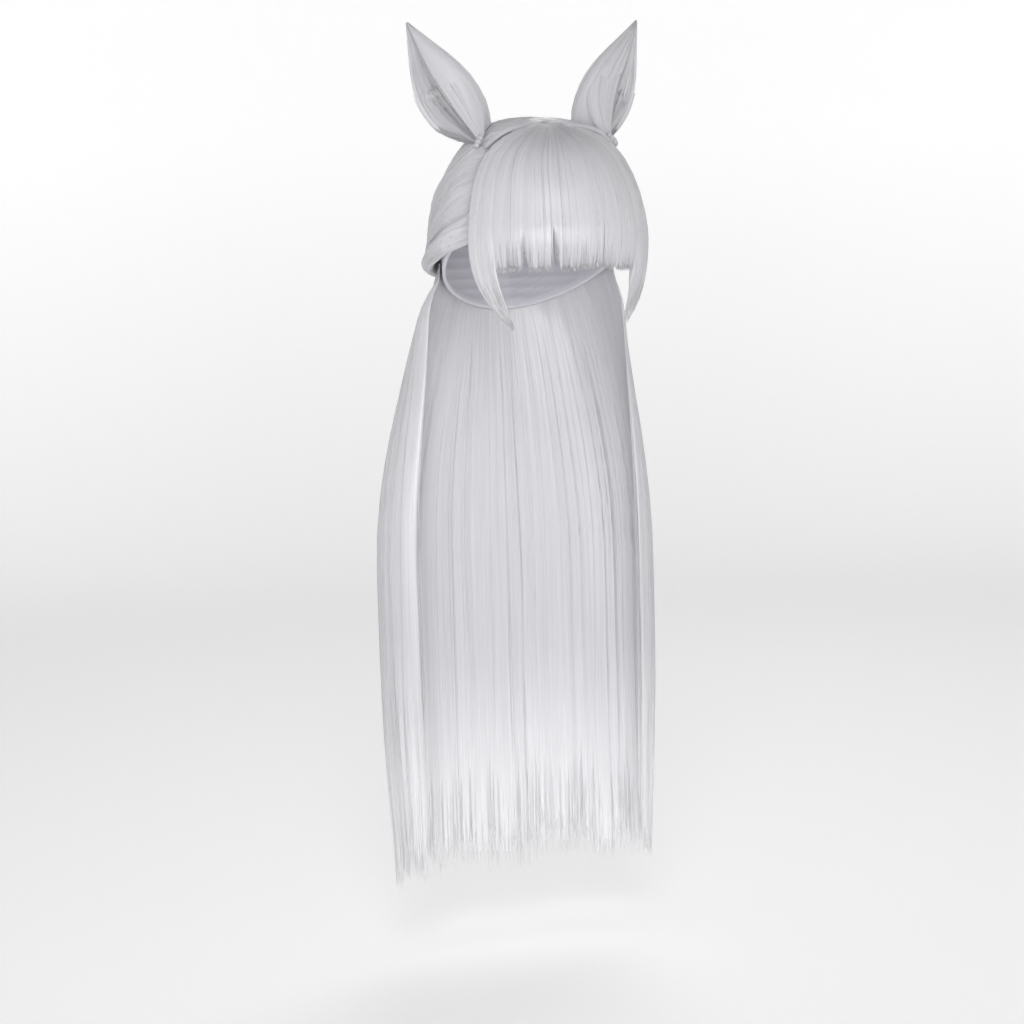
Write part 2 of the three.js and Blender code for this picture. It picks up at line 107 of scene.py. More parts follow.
CURTAIN = Sizes(
    width=175, length=540, wrap=76, root_back=103.5, root_side=99, back_y=97, waist_y=62, forward=50,
    sweep=125, square=2.5, bunch=1.25, flare_drop=258, tip_z=-665, crowd=1.4, root=2.2, sewn_gap=0.4,
    puff=4, thick=8, tip=3, seam=0.3, tuck=5, tuck_over=0.04, step=0.01,
    out=(0, 0.14), puff_ends=(0.09, 0.25), thins=(0.75, 0.25), ridges_at=(0, 0.2),
)
CURTAIN_HALF_WIDTH = {"right": 124, "left": 113.5}
TAIL = Sizes(
    width=132, length=490, neck_y=119.5, neck_half_width=11.5, neck_half_depth=6.3, neck_lift=1.2,
    top_z=-108, top_rise=4, fan_drop=150, fan_half_width=66, fan_depth=9, clear=0.6, curl=8, curl_share=0.3,
    tip_z=-596, crowd=1.7, tip=3, lean=19, lean_from=2, lean_over=12, lean_power=1.4, lean_spread=0.9,
    pinch=0.16, pinch_over=5, neck_bulge=1.1, thins=(0.7, 0.3), neck=(0, 0.08),
)
# Folds round the neck of the tail: depth, number across it and phase
TAIL_FOLDS = [(0.06, 13, 0.6), (0.05, 29, 0)]
BAND = Sizes(
    z=-118, tube=2.4, beside=1.2, behind=1.6, tall=1.5, steps=201, sides=25, coils=2.5, wind=0.5,
    between=0.75, thread=0.1, threads=70, thread_wind=9, tint=0.1, coil_tint=0.35, thread_tint=1.2,
    map_round=16, map_tube=3,
)
EAR = Sizes(
    width=100, length=115, lift=11.6, wall=3.4, inner_rim=168, outer_rim=90, straight_from=60, bow=3.5,
    seat_over=0.09, seat_rise=1.5, inner_rise=20, wall_share=0.45,
)
EARS = {
    "right": dict(side=-1, base=(96, 31), tip=(104, 17, 88), open_turn=54),
    "left": dict(side=1, base=(96, 31), tip=(104, 17, 91), open_turn=24),
}
# Ear sections: share of the way to the tip, half width, half depth
EAR_SECTIONS = np.array([
    (0, 19, 11), (0.09, 24, 13), (0.2, 27.5, 15), (0.4, 28, 15.5),
    (0.58, 22.5, 12.5), (0.75, 14, 8), (0.9, 6, 3.5), (1, 0.9, 0.7),
])
EAR_DRAWN = Sizes(share=0.85, outer=(30, 50), outer_up_to=0.14, inner=(95, 50), inner_up_to=0.25)
# The knot's tint is low overall and lowest where its plies part: painted shade in its grooves
KNOT = Sizes(
    turn=67, down=40, half_length=7, radius=3.1, stand=0.95, step=5, steps=41, sides=61, twist=5.6,
    between=0.72, swell=0.3, thread=0.02, threads=27, thread_twist=30, tint=-0.3, ply_tint=0.6,
    map_round=3, map_slant=4,
)
GATHER = Sizes(
    width=70, length=60, rise=0.8, clear=0.25, foot=0.05, top=0.5, step=0.06, handle=0.26, pinch=0.1,
    arch=3, arch_share=0.6, sink=0.9, thick=0.7, under=0.4, outside=(55, 25), hug=(45, 40), hug_sinks=0.9,
    sinks=(0.35, 0.65), thins=(0.2, 0.7),
)
LEAD = Sizes(
    width=9, length=62, turn=60, down=6, root=6.6, tip=12.4, rises=(0, 0.7), half_width=2.4, height=1.4,
    under=1.5, step=0.01, slim=0.3, swell=0.7, swell_from=0.08, swell_over=0.8, grown=0.2, grows_over=0.2,
)
# Least share of the height of a rounded section, at its edges
EDGE_SHARE = 0.02

# Locks: where each ends across its sheet, and how much longer it hangs
FRINGE_LOCKS = [(-40, 1), (-31, 0), (-15.5, 1), (-1, 1), (9, 0), (22, 1), (40, 2)]
CROWN_LOCKS = [(0.16, 0), (0.36, 0), (0.58, 0), (0.79, 0), (1, 0)]
SWEPT_LOCKS = [(0.2, 0), (0.42, 0), (0.62, 0), (0.82, 0), (1, 0)]
CURTAIN_LOCKS = [(0.14, 4), (0.31, -3), (0.5, 2), (0.68, -2), (0.85, -5), (1, -16)]
TAIL_LOCKS = [(-0.68, -9), (-0.36, 3), (0, 6), (0.33, 1), (0.69, 5), (1, -7)]

# Notches cut up into a hanging edge: place, depth, reach to either side
FRINGE_NOTCHES = [
    (-40, 5, 1.2, 1.0), (-31, 14, 1.7, 2.2), (-15.5, 21, 0.5, 3.6), (-1, 3, 0.8, 0.6),
    (9, 3, 0.9, 1.0), (22, 3, 0.7, 0.9),
]
CURTAIN_NOTCHES = [
    (0.14, 14, 0.02, 0.015), (0.31, 10, 0.015, 0.02), (0.5, 18, 0.02, 0.02),
    (0.68, 12, 0.015, 0.02), (0.85, 20, 0.02, 0.02),
]
TAIL_NOTCHES = [
    (-0.68, 16, 0.03, 0.03), (-0.36, 12, 0.03, 0.03), (0, 18, 0.03, 0.03),
    (0.33, 10, 0.03, 0.03), (0.69, 15, 0.03, 0.03),
]
# Partings sunk into the outer face: place, depth, half breadth, share of the way down where each begins
FRINGE_PARTINGS = [
    (-40, 0.6, 0.35, 0.93), (-31, 0.6, 0.35, 0.95), (-15.5, 1.6, 0.34, 0.72), (-1, 0.5, 0.3, 0.93),
    (12.5, 1.8, 0.28, 0.7), (9, 0.5, 0.3, 0.94), (22, 0.6, 0.3, 0.9), (31, 0.6, 0.3, 0.86),
]
# Partings in the swept sides: place, depth, half breadth, share of the way back where each closes
SWEPT_PARTINGS = [
    (0.1, 1.8, 0.012, 0.4), (0.26, 0.9, 0.01, 0.5), (0.52, 0.8, 0.01, 0.6), (0.795, 2.4, 0.014, 0.6),
]


class Work(NamedTuple):
    """How one sheet of hair is dressed, in millimetres or shares of the way from root to tip."""

    seed: int
    columns: int  # the sheet's grid
    rows: int
    strands: int  # loose strands
    segments: int  # steps along each
    tufts: int = 0  # short strands at the ends
    thin: float = 0.8  # where a hanging sheet starts to thin
    keel: float = 0.5  # height, from inner to outer face, that it thins towards
    inner: float = 0.0  # share of the strands on the inner face
    sprout: float = 0.1  # where the last strands begin
    fade: float = 0.12  # over which the ridges rise
    ridges: float = 0.6  # depth of the ridges against the setting
    clump: float = 1.0  # weight of the broader ridges
    spill: tuple = (0, 0)  # how far the sheet reaches past its first and last edge
    rounding: tuple = (0, 0)  # how far in those edges thin out
    free: float = 0.0  # where the first edge starts to hang free and thin out
    fray: float = 0.9  # how far strands stray near the last edge
    ragged: float = 0.0  # unevenness of the sheet's end
    stand: float = 0.24  # how far strands stand out
    buried: float = 0.08  # over which they come out at the root
    trim: float = 0.0  # how much shorter a hanging sheet is than its strands
    short: float = 0.0  # extra length of the shortest strands
    long: float = 0.0  # extra length of the longest strands
    tone: float = 0.48  # tint, set per piece and partly painted light and shade: lower where a piece catches highlights, higher where it lies in shade
    painted_tip_light: float = 0.0  # painted light let through the thin tips
    roots: float = 0.0  # how much darker the roots are, which also paints the shade that falls over the top of the head
    painted_inner_light: float = 0.0  # painted light that lifts the inner face, which lies in shade
    crowd: float = 1.0  # power that draws a strand's steps towards the root


LOCK_WORK = partial(
    Work, columns=150, rows=34, strands=220, segments=18, tufts=120, keel=0.7, inner=0.25, ridges=0.4,
    clump=0.6, spill=(1.5, 0), rounding=(4, 7), free=0.66, ragged=4.0, stand=0.16, trim=11.0,
    short=-27.0, long=5.0, tone=0.62, roots=0.2,
)
CROWN_WORK = partial(
    Work, columns=250, rows=26, strands=300, segments=20, keel=0.35, ridges=0.45, clump=0.8,
    spill=(4.5, 2.0), rounding=(7, 0), roots=0.1,
)
SWEPT_WORK = partial(
    Work, columns=200, rows=44, strands=320, segments=20, sprout=0.02, fade=0.05, ridges=0.4, clump=0.9,
    spill=(5.0, 0), rounding=(0, 7), tone=0.47,
)
CURTAIN_WORK = partial(
    Work, columns=390, rows=26, strands=620, segments=17, tufts=1150, thin=0.9, inner=0.55, sprout=0.02,
    fade=0.03, ridges=0.4, clump=1.3, spill=(0.8, 0), rounding=(0, 26), fray=4.0, ragged=30.0,
    buried=0.35, trim=24.0, short=-42.0, long=6.0, tone=0.5, painted_tip_light=0.85, painted_inner_light=0.1, crowd=1.2,
)
EAR_WORK = partial(
    Work, columns=110, rows=48, strands=230, segments=9, inner=0.5, sprout=0.02, fade=0.03, ridges=0.4,
    clump=0.7, rounding=(10, 10), buried=0.02, tone=0.46, painted_inner_light=0.16,
)
GATHER_WORK = partial(
    Work, columns=80, rows=14, strands=110, segments=8, sprout=0.05, fade=0.1, ridges=0.5, clump=0.8,
    stand=0.2, buried=0.1, tone=0.52,
)
LEAD_WORK = partial(
    Work, columns=26, rows=22, strands=60, segments=10, sprout=0.2, ridges=1.6, clump=0.6, stand=0.3,
    buried=0.1, tone=0.5, roots=0.2,
)
WORK = {
    "fringe": Work(
        seed=11, columns=450, rows=30, strands=680, segments=20, tufts=460, thin=0.95, keel=0.8, inner=0.08,
        ridges=0.36, clump=0.3, spill=(1.5, 1.5), ragged=1.4, stand=0.1, trim=1.4, short=-2.6, long=1.2,
        tone=0.52, roots=0.46,
    ),
    "side_lock_right": LOCK_WORK(12),
    "side_lock_left": LOCK_WORK(13),
    "crown_right": CROWN_WORK(14),
    "crown_left": CROWN_WORK(15),
    "swept_side_right": SWEPT_WORK(16),
    "swept_side_left": SWEPT_WORK(17),
    "back_hair_right": CURTAIN_WORK(18),
    "back_hair_left": CURTAIN_WORK(19),
    "tied_tail": Work(
        seed=20, columns=280, rows=26, strands=380, segments=16, tufts=700, thin=0.88, inner=0.1,
        sprout=0.02, fade=0.02, ridges=0.4, clump=1.2, rounding=(4, 4), ragged=30.0, buried=0.4, trim=22.0,
        short=-40.0, long=6.0, painted_tip_light=0.6,
    ),
    "ear_right": EAR_WORK(21),
    "ear_left": EAR_WORK(22),
    "gathered_right": GATHER_WORK(23),
    "gathered_left": GATHER_WORK(24),
    "lead_right": LEAD_WORK(25),
    "lead_left": LEAD_WORK(26),
}

# Random fields over a sheet, in the order they are drawn: width and length of a cell. ends and tufts have one
# cell from root to tip.
FIELDS = dict(
    fine=(0.8, 160), mid=(3.0, 180), broad=(10, 240), sway=(9, 100), under=(2.2, 140),
    under_broad=(12, 260), ends=(0.9, math.inf), tufts=(6, math.inf), tone=(6, 300),
)
# Ridges of a sheet: weights of the fields on the outer and the inner face, and the thickness that has
# them in full, with the least share of that and the share at the root
RIDGES = Sizes(
    mid=1.5, broad=2.4, middle=-0.8, under_broad=3.0, under_middle=1.0, full=4, least=0.12, root=0.1,
)
# Sheet: the tips' painted light rises over the last ramp, and the darker roots with their painted shade fade
# by roots_end
SHEET = Sizes(
    sway=0.8, sways=(0, 0.3), edge=0.03, free_over=0.08, thinned=0.95, inner_short=0.3, ends=0.65,
    tufts=0.35, tone=0.02, fine_tone=0.08, broad_tone=0.07, pales=(0.7, 0.3), roots_end=0.7,
)
# Loose strands: how deep they lie, how they vary in tint and breadth, how they stray and how they taper
# lighter and tips_lighter lift the strands' tint: painted light against the shade their thin tubes fall into
STRAND = Sizes(
    sunk=0.2, root_sunk=0.7, dip=0.08, flyaway=0.5, flyaway_power=16, lighter=0.12, tips_lighter=1.6,
    tint_spread=0.07, thinnest=0.7, thickest=1.2, broken=0.05, broken_at=(0.75, 0.97), sprout_power=1.6,
    pace=(0.82, 1.2), margin=0.002, frays=(0.88, 0.12), stray=0.9, weave=0.4, waves=(0.8, 2.5),
    past_edge=0.004, root_taper=0.05, tip_taper=0.1, end_size=0.25, shuffle=3,
)
# Short strands at the ends: lighter lifts their tint, painted light against the shade they lie in within the
# thinning sheet
TUFT = Sizes(steps=4, begins=0.7, stray=0.8, height=(0.1, 0.85), power=0.8, lighter=0.35)

# Fibre finishes: bump, how far the highlight is drawn out, share of the shade colour and of the pale one
FINISHES = {
    "straight fibre": (0.2, 0.7, 1, 1),
    "swept fibre": (0.2, 0.0, 1, 1),
    # Ear fibre: the hair colours darkened, painted shade that takes back the light the ears catch
    "ear fibre": (0.25, 0.0, 0.94, 0.94),
    "covered elastic": (0.5, 0.0, 0.9, 0.85),
}
# Streaks along the fibre: scale across and along, detail
STREAKS = [(1.15, 0.016, 2.0), (0.16, 0.006, 1.0)]
STREAK = Sizes(
    broad=0.7, contrast=0.46, middle=-0.391, lightest=2.0, gloss=0.28, gloss_spread=0.2, dull=0.36,
    dull_slope=-1.2,
)

# Net of the cap: lie of its threads in degrees, scale of threads and fuzz, share of the net's colour between
# the threads, roughness
NET = Sizes(bias=45, threads=0.16, fuzz=0.6, between=0.78, rough=0.72, rough_spread=0.2)
# Paper: scale of its clouds and how much of its colour the darker ones keep
PAPER = Sizes(clouds=0.8, darker=0.985)

# Parts of the bake map: left, right, bottom, top
WHOLE_MAP = (0.0, 1.0, 0.0, 1.0)
OUTER_MAP = (0.0, 0.498, 0.0, 0.498)
INNER_MAP = (0.502, 1.0, 0.0, 0.498)
WALL_MAP = (0.0, 1.0, 0.502, 0.52)
STRAND_MAP = (0.0, 1.0, 0.524, 1.0)
# Heights in the strip for walls that the cap's rim and its top take up
RIM_STRIP = (0, 0.45)
TOP_STRIP = (0.55, 1)
# A strand's cell: how far it is drawn out upwards, then shares of it for the breadth of a side, the margin,
# the height of the sides, and the places and height of the ends
CELL = Sizes(drawn_out=12, side=0.3, margin=0.05, tall=0.9, ends=(0.02, 0.96), end_tall=0.02)
# Shares of the whole map for a piece's main sheet and for a smaller one added to it
MAIN_MAP = (0.0, 0.84, 0.0, 1.0)
ADDED_MAP = (0.85, 1.0, 0.0, 1.0)

# Studio, in metres. The sweep is a floor that bends up into a backdrop
SWEEP = Sizes(bend=0.9, back=2.3, front=-30.0, top=3.2, half_width=20.0, columns=9, steps=25)
GLOW_FROM, GLOW_TO = 2.0, 6.0
SKY_FROM, SKY_TO = 0.05, 0.85
# Lights: name, turn from the camera's side and height in degrees, distance, radius, share of key power
LIGHTS = [
    ("key", 0, 36, 2.9, 0.5, 1.0),
    ("fill", 2, -3, 3.0, 0.8, 3.2),
    ("back", 165, 34, 2.5, 1.1, 1.3),
]
SPOT_ANGLE = 80
LIT_POINT = (0, 0, -0.25)
# What the camera stands level with, and where that falls in the picture, in pixels from its middle
TARGET = (0, 0, -0.107)
AIM = (25, -258)
PICTURE = 1024
SENSOR = 36


# Settings

def colour_setting(name, description, default):
    """A colour property, each channel from 0 to 1."""
    return FloatVectorProperty(
        name=name, description=description, subtype="COLOR", size=3, min=0, max=1, default=default,
    )


def size_setting(name, description, default, unit="LENGTH"):
    """A number property in a given unit."""
    return FloatProperty(name=name, description=description, default=default, unit=unit, precision=5)


class HairSettings(bpy.types.PropertyGroup):
    """Fibre of the wig"""

    strand_width: size_setting("Strand width", "Breadth of a loose strand", 0.62 * MM)
    relief: size_setting("Relief", "Depth of the fine ridges that combed fibre makes", 0.26 * MM)
    shade: colour_setting("Shade", "Darker fibres", (0.425, 0.418, 0.447))
    pale: colour_setting("Pale", "Lighter fibres", (0.665, 0.658, 0.682))


class CapSettings(bpy.types.PropertyGroup):
    """Net cap under the hair"""

    row_spacing: size_setting("Row spacing", "Distance between sewn rows of hair", 9 * MM)
    net: colour_setting("Net", "Colour of the net", (0.56, 0.55, 0.6))
    tape: colour_setting("Tape", "Colour of the rows and the edge tape", (0.66, 0.65, 0.7))


class StageSettings(bpy.types.PropertyGroup):
    """Floor, light and camera"""

    floor_height: size_setting("Floor height", "Level of the floor", -0.735)
    paper: colour_setting("Paper", "Colour of the floor and backdrop", (0.93, 0.93, 0.935))
    glow: size_setting("Glow", "Light that comes through the paper", 0.13, "NONE")
    far_glow: size_setting("Far glow", "More of that light far from the wig", 0.31, "NONE")
    ambient: size_setting("Ambient", "Strength of the light all round", 0.95, "NONE")
    overhead: size_setting(
        "Overhead", "Share of the light all round that comes from straight above", 0.36, "NONE",
    )
    key: size_setting("Key", "Power of the front light", 60.0, "POWER")
    azimuth: size_setting("Azimuth", "Camera's turn round the wig", math.radians(-20), "ROTATION")
    distance: size_setting("Distance", "Camera's distance from its target", 1.85)
    lens: size_setting("Lens", "Focal length on a 36 mm sensor", 75.6, "CAMERA")
    roll: size_setting("Roll", "Camera's tilt about its own line", math.radians(1.6), "ROTATION")


# Arithmetic on arrays

def mix(a, b, share):
    """The value a share of the way from a to b."""
    return a + (b - a) * share


def ease(x):
    """Smooth step: 3x squared less 2x cubed, with x held between 0 and 1."""
    x = np.clip(x, 0, 1)
    return x * x * (3 - 2 * x)


def ramp(x, start, over):
    """Smooth step that begins at start and has risen to 1 after over."""
    return ease((x - start) / over)


def unit(vectors):
    """Vectors divided by their own lengths."""
    return vectors / np.maximum(np.linalg.norm(vectors, axis=-1, keepdims=True), 1e-9)


def stacked(*values):
    """Values of any shapes that go together, as the last axis of one array."""
    return np.stack(np.broadcast_arrays(*values), axis=-1)


def wander(rng, across, along):
    """A smooth random field over u and v, both 0 to 1, with values from about -1 to 1.

    Random values on a lattice of across by along cells, blended with smooth steps."""
    across, along = max(1, int(across)), max(1, int(along))
    lattice = rng.uniform(-1, 1, (across + 2, along + 2))

    def field(u, v):
        x, y = np.broadcast_arrays(np.clip(u, 0, 1) * across, np.clip(v, 0, 1) * along)
        i, j = x.astype(int), y.astype(int)
        near = mix(lattice[i, j], lattice[i + 1, j], ease(x - i))
        far = mix(lattice[i, j + 1], lattice[i + 1, j + 1], ease(x - i))
        return mix(near, far, ease(y - j))

    return field


# Places on the head

def on_head(turn, down, lift):
    """The head form raised by lift: turn degrees round from the brow, down degrees from the crown.

    The reach is the sine of down to the power of the fullness, scaled by half breadth and half length."""
    turn, down = np.radians(turn), np.radians(down)
    reach = np.sin(down) ** HEAD.fullness
    return stacked(
        (HEAD.half_width + lift) * reach * np.sin(turn),
        -(HEAD.half_depth + lift) * reach * np.cos(turn),
        -HEAD.height + (HEAD.height + lift) * np.cos(down),
    )


def head_top(x, y, lift):
    """Height of the raised head form over a plan position: the head formula solved for z."""
    reach = np.hypot(x / (HEAD.half_width + lift), y / (HEAD.half_depth + lift))
    sine = np.minimum(1, reach) ** (1 / HEAD.fullness)
    return -HEAD.height + (HEAD.height + lift) * np.sqrt(1 - sine * sine)


def on_scalp(turn, down, lift):
    """The point on the head carried forward along the head form, as far as the whorl is."""
    point = on_head(turn, down, lift)
    y = point[..., 1] - WHORL.forward * (1 - ease(down / WHORL.fade))
    z = np.where(down < WHORL.fade, head_top(point[..., 0], y, lift), point[..., 2])
    return stacked(point[..., 0], y, z)


# Falls of hair

def lock_bulge(at, locks, first):
    """Rise of each lock: 1 less the cube of the distance from its middle, 0 at its creases.

    Also the number of the lock."""
    ends = np.array([first] + [lock[0] for lock in locks], float)
    order = np.sign(ends[-1] - ends[0])
    index = np.clip(np.searchsorted(ends * order, at * order, side="right") - 1, 0, len(locks) - 1)
    share = np.clip((at - ends[index]) / (ends[index + 1] - ends[index]), 0, 1)
    return 1 - np.abs(2 * share - 1) ** 3, index


def lock_reach(at, locks, first, notches):
    """Extra length across a row of locks, less a pointed notch at each of the places listed."""
    hangs = np.array([lock[1] for lock in locks], float)
    reach = hangs[lock_bulge(at, locks, first)[1]]
    for place, depth, before, after in notches:
        off = at - place
        reach = reach - depth * np.clip(1 - np.where(off < 0, -off / before, off / after), 0, 1)
    return reach


def no_reach(at):
    """No extra length anywhere across."""
    return np.zeros(np.shape(at))


def not_sunk(at, v):
    """No partings: a depth of zero everywhere."""
    return np.zeros(np.broadcast(at, v).shape)


class Fall(NamedTuple):
    """One sheet of hair between two places across it."""

    first: float
    last: float
    width: float
    length: float
    place: Callable  # points from the place across, the share of the way down, the lift and the extra length
    lifts: Callable  # heights of the inner and the outer face from the place across and the share
    reach: Callable = no_reach  # extra length from the place across
    sunk: Callable = not_sunk  # depth of the partings from the place across and the share


def below_eave(v, dome_share):
    """Share of the way down the stretch that hangs below the dome."""
    return np.clip((v - dome_share) / (1 - dome_share), 0, 1)


def fall_from_whorl(turn, v, lift, dome_share, tip_z, tip_turn, tuck):
    """Over the dome to the eave, then down to tip_z, drawn in by tuck.

    Below the eave the surface keeps a little of the dome's slope, which dies away within a few
    millimetres, so the hair rolls over the edge."""
    dome = on_scalp(turn, mix(WHORL.root_down, FRINGE.eave, np.clip(v / dome_share, 0, 1)), lift)
    eave = on_head(tip_turn, FRINGE.eave, lift)
    z = mix(eave[..., 2], tip_z, below_eave(v, dome_share))
    roll = 1 + FRINGE.roll * (1 - np.exp((z - eave[..., 2]) / FRINGE.roll_drop))
    hang = stacked(eave[..., 0] * (1 - tuck) * roll, eave[..., 1] * (1 - tuck) * roll, z)
    return np.where((v <= dome_share)[..., None], dome, hang)


def whorl_dip(v):
    """How far the outer face drops at the roots, where the hair parts."""
    return WHORL.dip * (1 - ease(v / WHORL.dip_over))


def whorl_lifts(bulge, v, dome_share, edge_lift=0):
    """Inner and outer height of hair from the whorl: thin at root and tip, full over the brow."""
    fill = ease(v / (HAIR.fills_by * dome_share))
    thin = ramp(v, dome_share, 1 - dome_share)
    low = CAP.wall + HAIR.gap + fill * (HAIR.rise + edge_lift) + thin * HAIR.tip_rise
    thick = mix(HAIR.root, HAIR.thick - edge_lift * HAIR.edge_thins, fill) - whorl_dip(v)
    return low, low + mix(thick, HAIR.tip, thin) + HAIR.ridge * bulge * fill


def fringe_fall():
    """Hair from the whorl over the brow. Its tuck grows with the square of the way below the eave. A parting
    is a bell-shaped groove that opens and widens on the way down."""
    share = FRINGE.dome_share

    def place(at, v, lift, reach):
        w = below_eave(v, share)
        return fall_from_whorl(at, v, lift, share, FRINGE.tip_z - reach, at, FRINGE.tuck * w * w)

    def lifts(at, v):
        bulge = lock_bulge(at, FRINGE_LOCKS, FRINGE.start)[0]
        return whorl_lifts(FRINGE.bulge + FRINGE.bulge * bulge, v, share)

    def sunk(at, v):
        depth = not_sunk(at, v)
        for where, deep, breadth, begins in FRINGE_PARTINGS:
            opening = ramp(v, begins, FRINGE.parting_over)
            half = breadth * mix(FRINGE.parting_tight, 1, opening)
            depth = depth + deep * opening * np.exp(-((at - where) / half) ** 2)
        return depth

    reach = partial(lock_reach, locks=FRINGE_LOCKS, first=FRINGE.start, notches=FRINGE_NOTCHES)
    return Fall(FRINGE.start, FRINGE_LOCKS[-1][0], FRINGE.width, FRINGE.length, place, lifts, reach, sunk)


def side_lock_fall(start, end, tip_turn, tip_z):
    """A lock that hangs from the eave and is drawn sideways to a point. The pull is a power of the way down,
    and begins later and more gently on the inner side."""
    share = SIDE_LOCK.dome_share
    locks = [(mix(start, end, 0.5), 0), (end, 0)]
    drop = on_head(0, FRINGE.eave, HAIR.thick)[2] - tip_z

    def place(at, v, lift, reach):
        w = below_eave(v, share) * np.minimum(1, 1 + reach / drop)
        outward = np.clip((at - start) / (end - start), 0, 1)
        begins = SIDE_LOCK.inner_from * (1 - outward)
        power = mix(SIDE_LOCK.inner_pull, SIDE_LOCK.outer_pull, outward)
        pull = np.maximum(0, (w - begins) / (1 - begins)) ** power
        drawn = mix(at, tip_turn, SIDE_LOCK.pull * pull)
        return fall_from_whorl(at, v, lift, share, tip_z - reach, drawn, SIDE_LOCK.tuck * w * w)

    def lifts(at, v):
        bulge = lock_bulge(at, locks, start)[0]
        return whorl_lifts(bulge, v, share, SIDE_LOCK.edge_lift * ramp(at, start, end - start))

    return Fall(start, end, SIDE_LOCK.width, SIDE_LOCK.length, place, lifts)


def along_guides(first, second, at, v):
    """Turn and down on a cubic curve whose four guide points are mixed between two limits by at."""
    w = 1 - v
    shares = (w ** 3, 3 * w * w * v, 3 * w * v * v, v ** 3)
    return [
        sum(share * mix(a[k], b[k], at) for share, a, b in zip(shares, first, second)) for k in (0, 1)
    ]


def crown_fall(side):
    """Hair from the whorl over half of the crown to the tie. Its curves start higher by a high power of what
    is left of the way, so the roots close on the whorl."""
    def place(at, v, lift, reach):
        turn, down = along_guides(CROWN_FRONT, CROWN_BACK, at, v)
        down = down - CROWN.start_up * (1 - v) ** CROWN.start_power
        return on_scalp(side * turn, np.maximum(CROWN.least_down, down), lift)

    def lifts(at, v):
        bulge = lock_bulge(at, CROWN_LOCKS, 0)[0]
        fill = ramp(v, *CROWN.fills)
        low = CAP.wall + HAIR.gap + fill * CROWN.rise
        thick = mix(HAIR.root + CROWN.root, HAIR.thick - CROWN.thinner, fill) - CROWN.dip * whorl_dip(v)
        return low, low + thick + HAIR.ridge * bulge * fill

    return Fall(0, 1, CROWN.width, CROWN.length, place, lifts)


def swept_fall(name, side):
    """Side hair swept back to the tie. Its lower edge stands off the cap and is rolled, with a twist that
    is the size of a cosine along it. A parting is a bell-shaped groove that closes on the way back."""
    upper = [(SWEPT_UPPER[0][0] + SWEPT_LEAD[name], SWEPT_UPPER[0][1]), *SWEPT_UPPER[1:]]
    lower = [(SWEPT_LOWER[0][0] + SWEPT_LEAD[name], SWEPT_LOWER[0][1]), *SWEPT_LOWER[1:]]

    def place(at, v, lift, reach):
        turn, down = along_guides(upper, lower, at, v)
        return on_scalp(side * turn, down, lift)

    def lifts(at, v):
        bulge = lock_bulge(at, SWEPT_LOCKS, 0)[0]
        out = ramp(v, *SWEPT.out)
        roll = SWEPT.roll * ramp(at, *SWEPT.roll_at) * out
        overhang = SWEPT.overhang * ramp(at, *SWEPT.overhang_at) * out
        low = CAP.wall + HAIR.gap + SWEPT.front_lift * out
        low = low + SWEPT.back_lift * ramp(v, *SWEPT.back_at) + overhang
        gather = mix(1, SWEPT.gathered, ramp(v, *SWEPT.gathers))
        turns = np.abs(np.cos(np.pi * (SWEPT.turns * v + SWEPT.slant * at)))
        twist = SWEPT.twist * (ramp(at, *SWEPT.twist_at) * out * turns - SWEPT.twist_middle)
        full = (SWEPT.thick - SWEPT.thinned * overhang + roll + HAIR.ridge * bulge + twist) * gather
        return low, mix(SWEPT.under, low + full, out)

    def sunk(at, v):
        depth = not_sunk(at, v)
        for where, deep, breadth, closes in SWEPT_PARTINGS:
            opening = 1 - ramp(v, closes, SWEPT.parting_over)
            depth = depth + deep * np.exp(-((at - where) / breadth) ** 2) * opening
        return depth

    return Fall(0, 1, SWEPT.width, SWEPT.length, place, lifts, sunk=sunk)


def curtain_plan(half_width, at):
    """Across and behind at a share of the way round one half of the loose hair.

    A squared-off ellipse, flat behind and drawn forward past its widest point. The share is raised to a
    power, which spaces the fibres evenly."""
    at = np.clip(at, 0, None)
    turn = np.radians(CURTAIN.sweep * at ** CURTAIN.bunch)
    behind = np.cos(turn)
    deep = np.sign(behind) * np.abs(behind) ** (2 / CURTAIN.square)
    y = CURTAIN.waist_y + deep * np.where(deep > 0, CURTAIN.back_y - CURTAIN.waist_y, CURTAIN.forward)
    return half_width * np.sin(turn) ** (2 / CURTAIN.square), y


